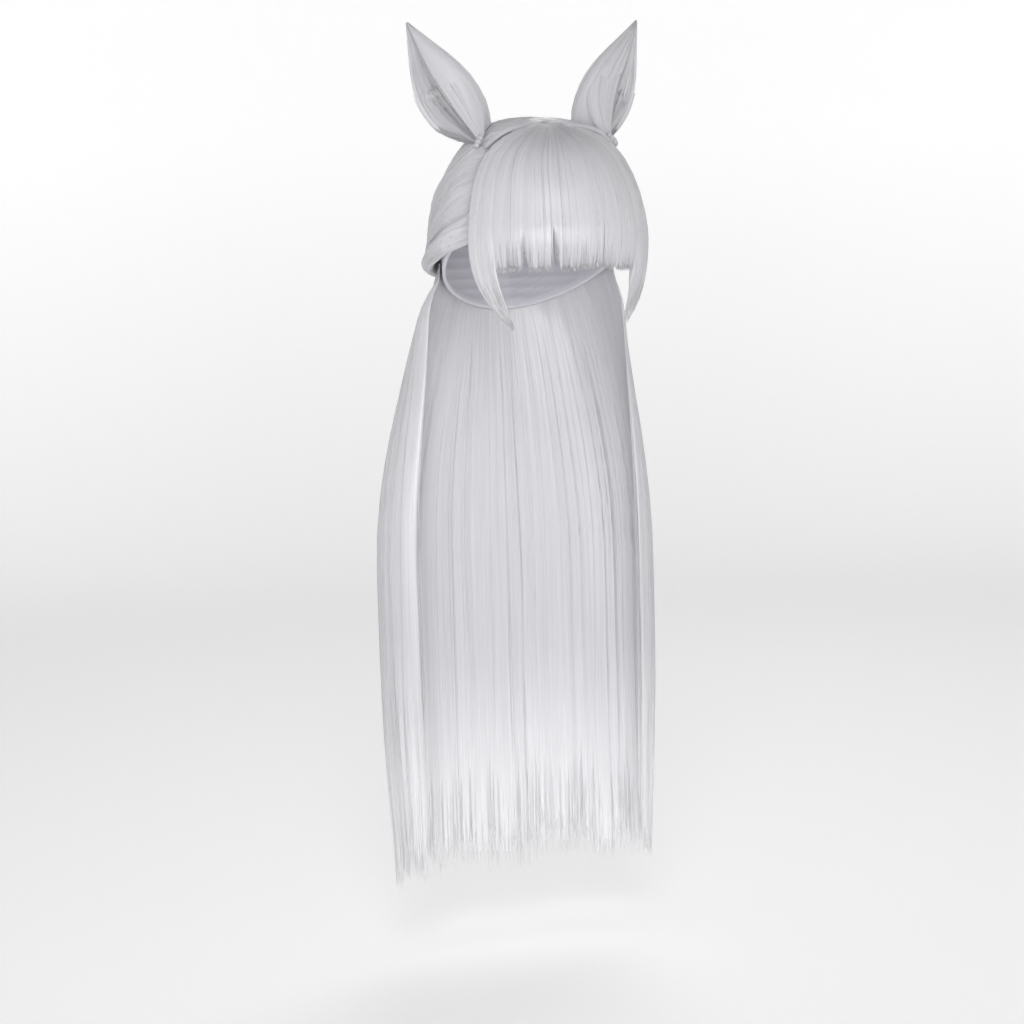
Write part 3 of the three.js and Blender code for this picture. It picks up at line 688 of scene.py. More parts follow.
def curtain_fall(name, side):
    """Half of the loose hair: from roots round the back of the head, it spreads along a quarter sine to its
    plan and then hangs straight. Its lift is laid off square to the plan's line."""
    half_width = CURTAIN_HALF_WIDTH[name]

    def place(at, v, lift, reach):
        edge = np.clip(at, 0, 1)
        root_down = mix(CURTAIN.root_back, CURTAIN.root_side, edge)
        root_down = root_down - CURTAIN.tuck * ease(1 - v / CURTAIN.tuck_over)
        root = on_head(side * (180 - at * CURTAIN.wrap), root_down, lift)
        root_x = root[..., 0] + side * CURTAIN.seam
        root_z = root[..., 2]
        z = mix(root_z, CURTAIN.tip_z - reach, v ** CURTAIN.crowd)
        flare = np.sin(np.pi / 2 * np.clip((root_z - z) / CURTAIN.flare_drop, 0, 1))
        across, behind = curtain_plan(half_width, at)
        ahead = curtain_plan(half_width, edge + CURTAIN.step)
        after = curtain_plan(half_width, edge - CURTAIN.step)
        along_x, along_y = ahead[0] - after[0], ahead[1] - after[1]
        length = np.hypot(along_x, along_y)
        raised = lift - CAP.wall - HAIR.gap
        spill = np.minimum(at, 0) * half_width
        spread_x = side * (across + spill - along_y / length * raised + CURTAIN.seam)
        spread_y = behind + along_x / length * raised
        return stacked(mix(root_x, spread_x, flare), mix(root[..., 1], spread_y, flare), z)

    def lifts(at, v):
        bulge = lock_bulge(at, CURTAIN_LOCKS, 0)[0]
        out = ramp(v, *CURTAIN.out)
        sewn = mix(CURTAIN.sewn_gap, HAIR.gap, out)
        low = CAP.wall + sewn + CURTAIN.puff * out * (1 - ramp(v, *CURTAIN.puff_ends))
        thick = mix(mix(CURTAIN.root, CURTAIN.thick, out), CURTAIN.tip, ramp(v, *CURTAIN.thins))
        return low, low + thick + HAIR.ridge * bulge * ramp(v, *CURTAIN.ridges_at)

    reach = partial(lock_reach, locks=CURTAIN_LOCKS, first=0, notches=CURTAIN_NOTCHES)
    return Fall(0, 1, CURTAIN.width, CURTAIN.length, place, lifts, reach)


def curtain_face(x):
    """Depth of the loose hair's outer face behind the head at a plan offset from the centre line."""
    across = np.clip(np.abs(x) / CURTAIN_HALF_WIDTH["left"], 0, 1) ** CURTAIN.square
    behind = (1 - across) ** (1 / CURTAIN.square)
    return mix(CURTAIN.waist_y, CURTAIN.back_y, behind) + CURTAIN.thick + HAIR.ridge + TAIL.clear


def tail_fall():
    """Tied hair: a folded oval neck, pinched by the band, that fans out over the loose hair.

    Above the band it leans towards the head."""
    def place(at, v, lift, reach):
        z = mix(TAIL.top_z + TAIL.top_rise, TAIL.tip_z - reach, v ** TAIL.crowd)
        fan = ease((BAND.z - z) / TAIL.fan_drop)
        lean = np.clip((z - BAND.z - TAIL.lean_from) / TAIL.lean_over, 0, 1) ** TAIL.lean_power
        pinch = 1 - TAIL.pinch * np.exp(-(((z - BAND.z) / TAIL.pinch_over) ** 2))
        neck_half = TAIL.neck_half_width * pinch * (1 + TAIL.lean_spread * lean)
        x = at * mix(neck_half, TAIL.fan_half_width, fan)
        inside = np.clip(1 - at * at, 0, None)
        folds = sum(depth * np.cos(number * at + phase) for depth, number, phase in TAIL_FOLDS)
        side = np.clip(lift / TAIL.neck_lift, -1, TAIL.neck_bulge)
        neck = TAIL.neck_half_depth * pinch * np.sqrt(inside) * side * (1 + folds)
        fan_y = curtain_face(x) + TAIL.curl * inside * TAIL.curl_share + np.maximum(0, lift)
        return stacked(x, mix(TAIL.neck_y + neck, fan_y, fan) - TAIL.lean * lean, z)

    def lifts(at, v):
        bulge = lock_bulge(at, TAIL_LOCKS, -1)[0]
        rounded = np.sqrt(np.maximum(EDGE_SHARE, 1 - at * at))
        thick = mix(TAIL.fan_depth * rounded, TAIL.tip, ramp(v, *TAIL.thins))
        low = -TAIL.neck_lift * (1 - ramp(v, *TAIL.neck))
        return low, np.maximum(TAIL.neck_lift, thick) + HAIR.ridge * bulge

    reach = partial(lock_reach, locks=TAIL_LOCKS, first=-1, notches=TAIL_NOTCHES)
    return Fall(-1, 1, TAIL.width, TAIL.length, place, lifts, reach)


# Ears

def ear_section(along):
    """Half width and half depth along the ear: cubic curves through the table of sections."""
    knots = EAR_SECTIONS[:, 0]
    index = np.clip(np.searchsorted(knots, along, side="right") - 1, 0, len(knots) - 2)
    span = knots[index + 1] - knots[index]
    t = (along - knots[index]) / span
    sizes = []
    for values in EAR_SECTIONS[:, 1:].T:
        slopes = np.gradient(values, knots)
        size = (
            values[index] * (1 + 2 * t) * (1 - t) ** 2 + values[index + 1] * t * t * (3 - 2 * t)
            + span * (slopes[index] * t * (1 - t) ** 2 + slopes[index + 1] * t * t * (t - 1))
        )
        sizes.append(np.maximum(size, values[-1]))
    return sizes


def at_knot(side):
    """Where the hair of an ear is drawn together."""
    return on_head(side * KNOT.turn, KNOT.down, EAR.lift + GATHER.rise)


def ear_fall(side, base, tip, open_turn):
    """A pointed leaf rolled into a cup: each section is an arc round the ear's line, open to one side, which
    runs on along its tangent where it opens out. At the foot its rims are drawn to the knot."""
    foot = on_head(side * base[0], base[1], EAR.lift)
    point = np.array((side * tip[0], tip[1], tip[2]), float)
    axis = unit(point - foot)
    turn = math.radians(open_turn)
    opening = np.array((side * math.sin(turn), -math.cos(turn), 0))
    opening = unit(opening - axis * np.dot(opening, axis))
    across = np.cross(axis, opening)
    bow = np.array((side * EAR.bow, 0, 0))

    def drawn(at, v):
        """How far a point near the foot is drawn to the knot: most at the two rims, fading up the ear."""
        inward = -side * at
        outer = ramp(-inward, *EAR_DRAWN.outer) * (1 - ease(v / EAR_DRAWN.outer_up_to))
        inner = ramp(inward, *EAR_DRAWN.inner) * (1 - ease(v / EAR_DRAWN.inner_up_to))
        return EAR_DRAWN.share * np.maximum(outer, inner)[..., None]

    def place(at, v, lift, reach):
        half_width, half_depth = ear_section(np.broadcast_to(v, np.broadcast(at, v).shape))
        limit = side * EAR.straight_from
        curled = np.minimum(at, limit) if side > 0 else np.maximum(at, limit)
        angle, past = np.radians(curled), np.radians(at - curled)
        centre = foot + (point - foot) * v[..., None]
        centre = centre + bow * np.sin(np.pi * v)[..., None]
        spot = (
            centre + across * ((half_width + lift) * (np.sin(angle) + past * np.cos(angle)))[..., None]
            - opening * ((half_depth + lift) * (np.cos(angle) - past * np.sin(angle)))[..., None]
        )
        spot = mix(spot, at_knot(side), drawn(at, v))
        seat = head_top(spot[..., 0], spot[..., 1], EAR.lift)
        inset = np.clip(-lift / EAR.wall, 0, 1)
        raised = np.maximum(spot[..., 2], seat + EAR.seat_rise + EAR.inner_rise * v * inset)
        spot[..., 2] = mix(seat, raised, np.clip(v / EAR.seat_over, 0, 1))
        return spot

    def lifts(at, v):
        half_depth = ear_section(np.broadcast_to(v, np.broadcast(at, v).shape))[1]
        return -np.minimum(EAR.wall, EAR.wall_share * half_depth), np.zeros(half_depth.shape)

    return Fall(-side * EAR.inner_rim, side * EAR.outer_rim, EAR.width, EAR.length, place, lifts)


def gathered_fall(ear, side):
    """Hair drawn from the knot into the foot of an ear: cubic curves that leave the knot, cross the head and
    run up the wall. It lies outside the wall where that faces the front, and inside it elsewhere."""
    knot = at_knot(side)
    back = ear.place(np.zeros(1), np.full(1, GATHER.foot), np.full(1, -EAR.wall), np.zeros(1))

    def hug(at):
        """How closely it follows the ear's own sheet: fully at the outer rim."""
        return ramp(side * at, *GATHER.hug)

    def place(at, v, lift, reach):
        outside = ramp(-side * at, *GATHER.outside)
        inside = mix(-EAR.wall - GATHER.clear, -0.5 * EAR.wall, hug(at))
        cling = mix(inside, GATHER.clear, outside) + lift * (2 * outside - 1)
        level = np.zeros(np.broadcast(at, v).shape)
        foot = ear.place(at, level + GATHER.foot, cling, reach)
        top = ear.place(at, level + GATHER.top, cling, reach)
        below = ear.place(at, level + GATHER.top - GATHER.step, cling, reach)
        rising = top - (top - below) * GATHER.handle / GATHER.step
        start = knot + (foot - back) * GATHER.pinch
        leaving = mix(start, foot, GATHER.arch_share) + np.array((0, 0, GATHER.arch))
        w = (1 - v)[..., None]
        t = v[..., None]
        spot = w ** 3 * start + 3 * w * w * t * leaving + 3 * w * t * t * rising + t ** 3 * top
        spot = mix(spot, ear.place(at, level + GATHER.top * v, cling, reach), hug(at)[..., None])
        seat = head_top(spot[..., 0], spot[..., 1], EAR.lift + GATHER.clear) + lift
        spot[..., 2] = np.maximum(spot[..., 2], seat)
        return spot

    def lifts(at, v):
        sink = GATHER.sink * ramp(v, *GATHER.sinks)
        thick = GATHER.thick * (1 - ramp(v, *GATHER.thins))
        left = 1 - GATHER.hug_sinks * hug(at)
        return (-GATHER.under - sink) * left, (thick - sink) * left

    return Fall(ear.first, ear.last, GATHER.width, GATHER.length, place, lifts)


def lead_lock_fall(side):
    """A rounded lock from the whorl to the knot: a line on the head, with an oval section across it. Its half
    width swells and shrinks along a sine."""
    def centre(v):
        lift = mix(LEAD.root, LEAD.tip, ramp(v, *LEAD.rises))
        return on_scalp(side * mix(LEAD.turn, KNOT.turn, v), mix(LEAD.down, KNOT.down, v), lift)

    def place(at, v, lift, reach):
        line = unit(centre(np.clip(v + LEAD.step, 0, 1)) - centre(np.clip(v - LEAD.step, 0, 1)))
        middle = centre(v)
        up = unit(middle + np.array((0, 0, HEAD.height)))
        swell = np.sin(np.pi * np.clip(LEAD.swell_from + LEAD.swell_over * v, 0, 1))
        half = LEAD.half_width * (LEAD.slim + LEAD.swell * swell)
        return middle + np.cross(line, up) * (at * half)[..., None] + up * lift[..., None]

    def lifts(at, v):
        rounded = np.sqrt(np.clip(1 - at * at, EDGE_SHARE, 1))
        return -LEAD.under + 0 * (at + v), LEAD.height * rounded * ease(v / LEAD.grows_over + LEAD.grown)

    return Fall(-1, 1, LEAD.width, LEAD.length, place, lifts)


# Gathering one piece's mesh

def in_map(part, x, y):
    """Places on the bake map, from shares across and up one part of it."""
    left, right, bottom, top = part
    return stacked(mix(left, right, x), mix(bottom, top, y))


class Pile:
    """Points, faces and their values for one piece, gathered patch by patch. window is the part of the bake
    map that the next patches fill."""

    def __init__(self):
        self.points, self.tint, self.fibre, self.faces, self.atlas = [], [], [], [], []
        self.count = 0
        self.window = WHOLE_MAP

    def add(self, points, tint, fibre, faces, atlas):
        """faces and atlas are lists of equal length: corner numbers, and a place on the bake map for each."""
        self.points.append(points.reshape(-1, 3))
        self.tint.append(np.broadcast_to(tint, points.shape[:-1]).ravel())
        self.fibre.append(fibre.reshape(-1, 2))
        for corners, spots in zip(faces, atlas):
            self.faces.append(corners + self.count)
            self.atlas.append(in_map(self.window, spots[..., 0], spots[..., 1]))
        self.count += points.size // 3

    def add_outward(self, points, tint, fibre, faces, atlas):
        """Adds one closed body of quads, turned over if its faces point inwards."""
        if signed_volume(points.reshape(-1, 3), np.concatenate(faces)) < 0:
            faces = [group[:, ::-1] for group in faces]
            atlas = [spots[:, ::-1] for spots in atlas]
        self.add(points, tint, fibre, faces, atlas)

    def build(self, name, material):
        """Puts the gathered arrays into a mesh object at the origin."""
        points = np.concatenate(self.points) * MM
        corners = np.concatenate([group.ravel() for group in self.faces])
        sizes = np.concatenate([np.full(len(group), group.shape[1]) for group in self.faces])
        starts = np.concatenate([[0], np.cumsum(sizes)[:-1]])
        fibre = np.concatenate(self.fibre)[corners]
        atlas = np.concatenate([spots.reshape(-1, 2) for spots in self.atlas])
        mesh = bpy.data.meshes.new(name)
        mesh.vertices.add(len(points))
        mesh.vertices.foreach_set("co", points.astype(np.float32).ravel())
        mesh.loops.add(len(corners))
        mesh.loops.foreach_set("vertex_index", corners.astype(np.int32))
        mesh.polygons.add(len(sizes))
        mesh.polygons.foreach_set("loop_start", starts.astype(np.int32))
        mesh.polygons.foreach_set("use_smooth", np.ones(len(sizes), bool))
        mesh.uv_layers.new(name="fibre").data.foreach_set("uv", fibre.astype(np.float32).ravel())
        mesh.uv_layers.new(name="OFBake").data.foreach_set("uv", atlas.astype(np.float32).ravel())
        tint = mesh.attributes.new("tint", "FLOAT", "POINT")
        tint.data.foreach_set("value", np.concatenate(self.tint).astype(np.float32))
        mesh.update(calc_edges=True)
        if mesh.validate():
            raise RuntimeError(f"{name}: the mesh had faults")
        mesh.materials.append(material)
        piece = bpy.data.objects.new(name, mesh)
        bpy.context.scene.collection.objects.link(piece)
        return piece


def grid_faces(columns, rows):
    """Corner numbers of the quads of a grid whose points are numbered column by column."""
    i, j = np.meshgrid(np.arange(columns - 1), np.arange(rows - 1), indexing="ij")
    corner = (i * rows + j).ravel()
    return np.stack([corner, corner + rows, corner + rows + 1, corner + 1], axis=1)


def grid_spots(part, columns, rows, faces):
    """Places on a part of the bake map for the corners of a grid's quads."""
    x, y = np.meshgrid(np.linspace(0, 1, columns), np.linspace(0, 1, rows), indexing="ij")
    return in_map(part, x.ravel()[faces], y.ravel()[faces])


def signed_volume(points, quads):
    """Six times the volume inside the quads: the triple products of two triangles in each, summed."""
    a, b, c, d = (points[quads[:, k]] for k in range(4))
    return np.sum(a * np.cross(b, c)) + np.sum(a * np.cross(c, d))


def wall_quads(outer_edge, inner_edge):
    """A strip between two rows of corner numbers."""
    return np.stack([outer_edge[:-1], inner_edge[:-1], inner_edge[1:], outer_edge[1:]], axis=1)


def wall_spots(count, low, high):
    """Places on the bake map's strip for walls, between two heights in it, for a strip of count corners."""
    share = np.linspace(0, 1, count)
    across = np.stack([share[:-1], share[:-1], share[1:], share[1:]], axis=1)
    return in_map(WALL_MAP, across, np.array([low, high, high, low]))


def add_closed_sheet(pile, outer, inner, tint, fibre):
    """One closed body: an outer and an inner grid of the same size, and walls round their border.

    tint is a pair, for the outer and the inner grid."""
    columns, rows = outer.shape[:2]
    size = columns * rows
    face = grid_faces(columns, rows)
    number = np.arange(size).reshape(columns, rows)
    border = np.concatenate([number[:, 0], number[-1, 1:], number[-2::-1, -1], number[0, -2::-1]])
    pile.add_outward(
        np.concatenate([outer.reshape(-1, 3), inner.reshape(-1, 3)]), np.concatenate(tint).ravel(),
        np.tile(fibre.reshape(-1, 2), (2, 1)),
        [face, face[:, ::-1] + size, wall_quads(border, border + size)],
        [
            grid_spots(OUTER_MAP, columns, rows, face), grid_spots(INNER_MAP, columns, rows, face[:, ::-1]),
            wall_spots(len(border), 0, 1),
        ],
    )


def add_closed_tube(pile, points, tint, fibre):
    """A grid closed round its second direction. The first direction is closed too if its ends agree, and
    otherwise both its ends have shrunk to points."""
    face = grid_faces(*points.shape[:2])
    pile.add_outward(points, tint, fibre, [face], [grid_spots(WHOLE_MAP, *points.shape[:2], face)])


def strand_spots(strands, stops):
    """Places on the bake map for the sides and the ends of three-sided tubes.

    Each strand has a cell of its own, with its sides next to each other and its ends above and below."""
    per_row = max(1, int(math.sqrt(strands * CELL.drawn_out)))
    rows = -(-strands // per_row)
    cell = np.arange(strands)
    left, low = (cell % per_row) / per_row, (cell // per_row) / rows
    grids = np.meshgrid(cell, np.arange(stops - 1), np.arange(3), indexing="ij")
    s, k, c = (grid[..., None] for grid in grids)
    x = left[s] + ((c + np.array([0, 1, 1, 0])) * CELL.side + CELL.margin) / per_row
    y = low[s] + ((k + np.array([0, 0, 1, 1])) / (stops - 1) * CELL.tall + CELL.margin) / rows
    ends = [
        in_map(
            STRAND_MAP, left[:, None] + (np.arange(3) * CELL.side + CELL.margin) / per_row,
            (low + height / rows)[:, None] + np.array([0, CELL.end_tall, 0]) / rows,
        )
        for height in CELL.ends
    ]
    return [in_map(STRAND_MAP, x, y).reshape(-1, 4, 2), np.concatenate(ends)]


def add_strands(pile, paths, outward, radius, tint, fibre):
    """Closed three-sided tubes along many paths at once.

    Each ring has a corner along the outward direction and two more a third of a turn on either side."""
    strands, stops = paths.shape[:2]
    ahead = unit(np.gradient(paths, axis=1))
    up = unit(outward - ahead * np.sum(outward * ahead, axis=-1, keepdims=True))
    beside = np.cross(ahead, up)
    angles = np.arange(3) * FULL_TURN / 3
    ring = up[:, :, None] * np.cos(angles)[:, None] + beside[:, :, None] * np.sin(angles)[:, None]
    points = paths[:, :, None] + ring * radius[:, :, None, None]
    number = np.arange(strands * stops * 3).reshape(strands, stops, 3)
    following = np.roll(number, -1, axis=2)
    sides = np.stack([number[:, :-1], following[:, :-1], following[:, 1:], number[:, 1:]], axis=-1)
    ends = np.concatenate([number[:, 0, ::-1], number[:, -1]])
    pile.add(
        points, tint[:, :, None], np.repeat(fibre[:, :, None], 3, axis=2), [sides.reshape(-1, 4), ends],
        strand_spots(strands, stops),
    )


# Dressing one sheet of hair

class Comb:
    """Dresses one fall of hair with its ridged sheet, its loose strands and the short ones at its ends.

    The ridges are random fields, fine, lock-like and broad, that run along the fibres. Another one sways the
    fibres sideways. Strands follow the same fields. u is a place across the sheet from 0 to 1."""

    def __init__(self, name, fall, hair, pile):
        self.work, self.fall, self.hair, self.pile = WORK[name], fall, hair, pile
        self.rng = np.random.default_rng(self.work.seed)
        self.fields = Sizes(**{
            field: wander(self.rng, fall.width / width, fall.length / length)
            for field, (width, length) in FIELDS.items()
        })
        self.before = -self.work.spill[0] / fall.width
        self.after = 1 + self.work.spill[1] / fall.width

    def across(self, u, v):
        """The fall's own measure across, with the sway."""
        span = self.fall.last - self.fall.first
        sway = span * SHEET.sway / self.fall.width * self.fields.sway(u, v) * ramp(v, *SHEET.sways)
        return self.fall.first + span * u + sway

    def fullness(self, u, v):
        """Share of the thickness left near a rounded edge, as a quarter circle, and near hanging tips."""
        work = self.work
        left = np.ones(np.broadcast(u, v).shape)
        edges = ((u - self.before, work.rounding[0], work.free), (self.after - u, work.rounding[1], 0))
        for inward, depth, begins in edges:
            if depth > 0:
                rise = np.clip(inward * self.fall.width / depth, 0, 1)
                rounded = SHEET.edge + (1 - SHEET.edge) * np.sqrt(1 - (1 - rise) ** 2)
                left = left * (mix(1, rounded, ramp(v, begins, SHEET.free_over)) if begins else rounded)
        if work.trim > 0:
            left = left * (1 - SHEET.thinned * ramp(v, work.thin, 1 - work.thin))
        return left

    def faces(self, u, v, at):
        """Heights of the inner and outer face with their ridges."""
        work, fields = self.work, self.fields
        low, high = self.fall.lifts(at, v)
        room = np.clip((high - low) / RIDGES.full, RIDGES.least, 1) * ease(v / work.fade + RIDGES.root)
        relief = room * (self.hair.relief / MM * work.ridges)
        broader = RIDGES.mid * fields.mid(u, v) + RIDGES.broad * fields.broad(u, v)
        outer = high + relief * (fields.fine(u, v) + work.clump * broader + RIDGES.middle)
        outer = outer - self.fall.sunk(at, v) * room
        under_broad = work.clump * RIDGES.under_broad * fields.under_broad(u, v)
        inner = low + relief * (fields.under(u, v) + under_broad + RIDGES.under_middle)
        keel, share = mix(low, high, work.keel), self.fullness(u, v)
        return keel + (inner - keel) * share, keel + (outer - keel) * share

    def shading(self, v, painted_tip_light):
        """Painted light and shade in the tint: light let through at the tips, and darker roots that also
        paint the shade over the top of the head.
        """
        return painted_tip_light * ramp(v, *SHEET.pales) - self.work.roots * (1 - ease(v / SHEET.roots_end))

    def add_sheet(self):
        """The sheet itself, with its uneven ends."""
        work, fall, fields = self.work, self.fall, self.fields
        u, v = np.broadcast_arrays(
            np.linspace(self.before, self.after, work.columns)[:, None],
            np.linspace(0, 1, work.rows)[None, :],
        )
        at = self.across(u, v)
        low, high = self.faces(u, v, at)
        uneven = SHEET.ends * fields.ends(u, 0 * v) + SHEET.tufts * fields.tufts(u, 0 * v)
        reach = fall.reach(at) + work.ragged * uneven - work.trim
        outer = fall.place(at, v, high, reach)
        inner = fall.place(at, v, low, reach - SHEET.inner_short)
        # Random tone, with painted light at the tips and painted shade over the roots from shading
        tint = work.tone + SHEET.tone + SHEET.fine_tone * fields.fine(u, v)
        tint = tint + SHEET.broad_tone * fields.tone(u, v) + self.shading(v, work.painted_tip_light)
        fibre = np.stack([u * fall.width, v * fall.length], axis=-1)
        # The inner face gets painted light, since it lies in shade
        add_closed_sheet(self.pile, outer, inner, (tint, tint + work.painted_inner_light), fibre)

    def add_loose(self, u, v, height, longer, share, spread, lighter):
        """Strands at given places: height is 0 on the inner face and 1 on the outer one, longer runs from 0
        for the longest to 1 for the shortest, and lighter, a painted light that lifts the shade their thin
        tubes fall into, is added to their tint."""
        work, fall, rng = self.work, self.fall, self.rng
        each = (len(u), 1)
        at = self.across(u, v)
        low, high = self.faces(u, v, at)
        lift = mix(low, high, height) + spread
        reach = fall.reach(at) + mix(work.long, work.short, longer)
        paths = fall.place(at, v, lift, reach)
        outward = (fall.place(at, v, lift + 1.0, reach) - paths) * np.where(height < 0.5, -1, 1)[..., None]
        tip = STRAND.end_size + (1 - STRAND.end_size) * ease((1 - share) / STRAND.tip_taper)
        taper = np.minimum(ease(share / STRAND.root_taper + STRAND.end_size), tip)
        breadth = self.hair.strand_width / MM * rng.uniform(STRAND.thinnest, STRAND.thickest, each)
        # Painted light against shade, also on the inner face; shading adds the tips' painted light and the
        # roots' painted shade
        tint = work.tone + lighter + rng.normal(0, STRAND.tint_spread, each) + work.painted_inner_light * (height < 0.5)
        tint = tint + self.shading(v, STRAND.tips_lighter * work.painted_tip_light)
        offset = u[:, :1] + STRAND.shuffle * rng.uniform(0, 1, each)
        fibre = np.stack([offset * fall.width + 0 * share, v * fall.length], axis=-1)
        add_strands(self.pile, paths, outward, 0.5 * breadth * taper, tint, fibre)

    def add_long_strands(self):
        """Strands from root to tip on both faces. Each drifts and weaves sideways."""
        work, fall, rng = self.work, self.fall, self.rng
        each = (work.strands, 1)
        inside = (np.arange(work.strands) < work.strands * work.inner)[:, None]
        begins = work.sprout * rng.uniform(0, 1, each) ** STRAND.sprout_power
        breaks = rng.uniform(0, 1, each) < STRAND.broken
        stops = np.where(breaks, rng.uniform(*STRAND.broken_at, each), 1.0)
        pace = work.crowd * rng.uniform(*STRAND.pace, each)
        share = np.linspace(0, 1, work.segments + 1)[None, :] ** pace
        v = mix(begins, stops, share)
        start = rng.uniform(STRAND.margin, 1 - STRAND.margin, each)
        stray = mix(STRAND.stray, work.fray, ramp(start, *STRAND.frays))
        weave = np.sin(np.pi * share * rng.uniform(*STRAND.waves, each))
        drift = rng.normal(0, 1, each) * share + rng.normal(0, STRAND.weave, each) * weave
        past_last = STRAND.past_edge + work.fray / fall.width
        limits = self.before - STRAND.past_edge, self.after + past_last
        u = np.clip(start + drift * stray / fall.width, *limits)
        proud = rng.uniform(-STRAND.dip, work.stand, each)
        proud = proud + STRAND.flyaway * rng.uniform(0, 1, each) ** STRAND.flyaway_power - STRAND.sunk
        proud = mix(-STRAND.root_sunk, proud, ease(share / work.buried))
        spread = np.where(inside, -proud, proud)
        height = np.where(inside, 0.0, 1.0) + 0 * v
        self.add_loose(u, v, height, rng.uniform(0, 1, each), share, spread, STRAND.lighter)

    def add_tufts(self):
        """Short strands that soften a hanging end."""
        work, rng = self.work, self.rng
        each = (work.tufts, 1)
        share = np.linspace(0, 1, TUFT.steps)[None, :]
        v = mix(mix(work.thin, 1.0, rng.uniform(0.0, TUFT.begins, each)), 1.0, share)
        u = rng.uniform(0.0, 1.0, each) + rng.normal(0, TUFT.stray / self.fall.width, each) * share
        height = rng.uniform(*TUFT.height, each) + 0 * share
        longer = rng.uniform(0, 1, each) ** TUFT.power
        self.add_loose(np.clip(u, 0, 1), v, height, longer, share, 0.0, TUFT.lighter)


# Materials

class Wiring:
    """Adds nodes to one tree, with their inputs joined to sockets or set to values."""

    def __init__(self, tree):
        self.nodes, self.links = tree.nodes, tree.links

    def put(self, socket, value):
        """Joins an input to a socket, or sets it to a colour or a value."""
        if isinstance(value, bpy.types.NodeSocket):
            self.links.new(value, socket)
        elif socket.type == "RGBA":
            socket.default_value = (*value, 1)
        else:
            socket.default_value = value

    def put_all(self, node, inputs):
        """Joins or sets a node's inputs by name."""
        for name, value in inputs.items():
            self.put(node.inputs[name], value)

    def add(self, kind, inputs, **options):
        """A node of one kind, its options set before its inputs."""
        node = self.nodes.new(f"ShaderNode{kind}")
        for name, value in options.items():
            setattr(node, name, value)
        self.put_all(node, inputs)
        return node

    def math(self, operation, *values):
        """The result of one operation on sockets or numbers."""
        node = self.add("Math", {}, operation=operation)
        for socket, value in zip(node.inputs, values):
            self.put(socket, value)
        return node.outputs[0]

    def blend(self, factor, a, b, **options):
        """A mix of two colours."""
        node = self.add("Mix", {}, data_type="RGBA", **options)
        self.put_all(node, {"Factor": factor, "A": a, "B": b})
        return node.outputs["Result"]

    def bump(self, height, strength, distance):
        """A normal tilted by the slope of a height."""
        node = self.add("Bump", {"Strength": strength, "Distance": distance, "Height": height})
        return node.outputs["Normal"]

    def rise(self, value, start, end, low, high):
        """A smooth step from low to high as the value goes from start to end."""
        limits = {"From Min": start, "From Max": end, "To Min": low, "To Max": high}
        node = self.add("MapRange", {"Value": value, **limits}, interpolation_type="SMOOTHSTEP")
        return node.outputs["Result"]


def fibre_group():
    """Fine streaks along the fibres, shared by every hair material.

    Two noises drawn out along the fibre, one fine and one broad, are added to the tint of the strand.
    The sum mixes two colours. The fine one also gives height and roughness. Where the sum is low, the
    roughness is greater."""
    name = "Fibre streaks"
    if name in bpy.data.node_groups:
        return bpy.data.node_groups[name]
    group = bpy.data.node_groups.new(name, "ShaderNodeTree")
    sockets = [
        ("Fibre", "INPUT", "Vector"), ("Tint", "INPUT", "Float"), ("Shade", "INPUT", "Color"),
        ("Pale", "INPUT", "Color"), ("Colour", "OUTPUT", "Color"), ("Roughness", "OUTPUT", "Float"),
        ("Height", "OUTPUT", "Float"),
    ]
    for label, way, kind in sockets:
        group.interface.new_socket(label, in_out=way, socket_type=f"NodeSocket{kind}")
    wiring = Wiring(group)
    entry = group.nodes.new("NodeGroupInput").outputs
    leave = group.nodes.new("NodeGroupOutput")
    streaks = []
    for across, along, detail in STREAKS:
        stretch = wiring.add("Mapping", {"Vector": entry["Fibre"], "Scale": (across, along, 1)})
        inputs = {"Vector": stretch.outputs["Vector"], "Scale": 1, "Detail": detail}
        streaks.append(wiring.add("TexNoise", inputs).outputs["Fac"])
    fine, broad = streaks
    total = wiring.math("ADD", fine, wiring.math("MULTIPLY", broad, STREAK.broad))
    centred = wiring.math("MULTIPLY_ADD", total, STREAK.contrast, STREAK.middle)
    amount = wiring.math("MAXIMUM", wiring.math("ADD", centred, entry["Tint"]), 0.0)
    amount = wiring.math("MINIMUM", amount, STREAK.lightest)
    gloss = wiring.math("MULTIPLY_ADD", fine, STREAK.gloss_spread, STREAK.gloss)
    dull = wiring.math("MAXIMUM", wiring.math("MULTIPLY_ADD", amount, STREAK.dull_slope, STREAK.dull), 0.0)
    wiring.put_all(leave, {
        "Colour": wiring.blend(amount, entry["Shade"], entry["Pale"], clamp_factor=False),
        "Roughness": wiring.math("ADD", gloss, dull),
        "Height": fine,
    })
    return group


def new_material(name):
    """A material with nodes, its wiring and its shader."""
    material = bpy.data.materials.new(name)
    material.use_nodes = True
    return material, Wiring(material.node_tree), material.node_tree.nodes["Principled BSDF"]


def fibre_sources(wiring):
    """The fibre map and the strand tint of a piece."""
    uv = wiring.add("UVMap", {}, uv_map="fibre")
    tint = wiring.add("Attribute", {}, attribute_name="tint")
    return uv.outputs["UV"], tint.outputs["Fac"]


def scaled(colour, share):
    """A colour with each channel multiplied by a share."""
    return [share * value for value in colour]


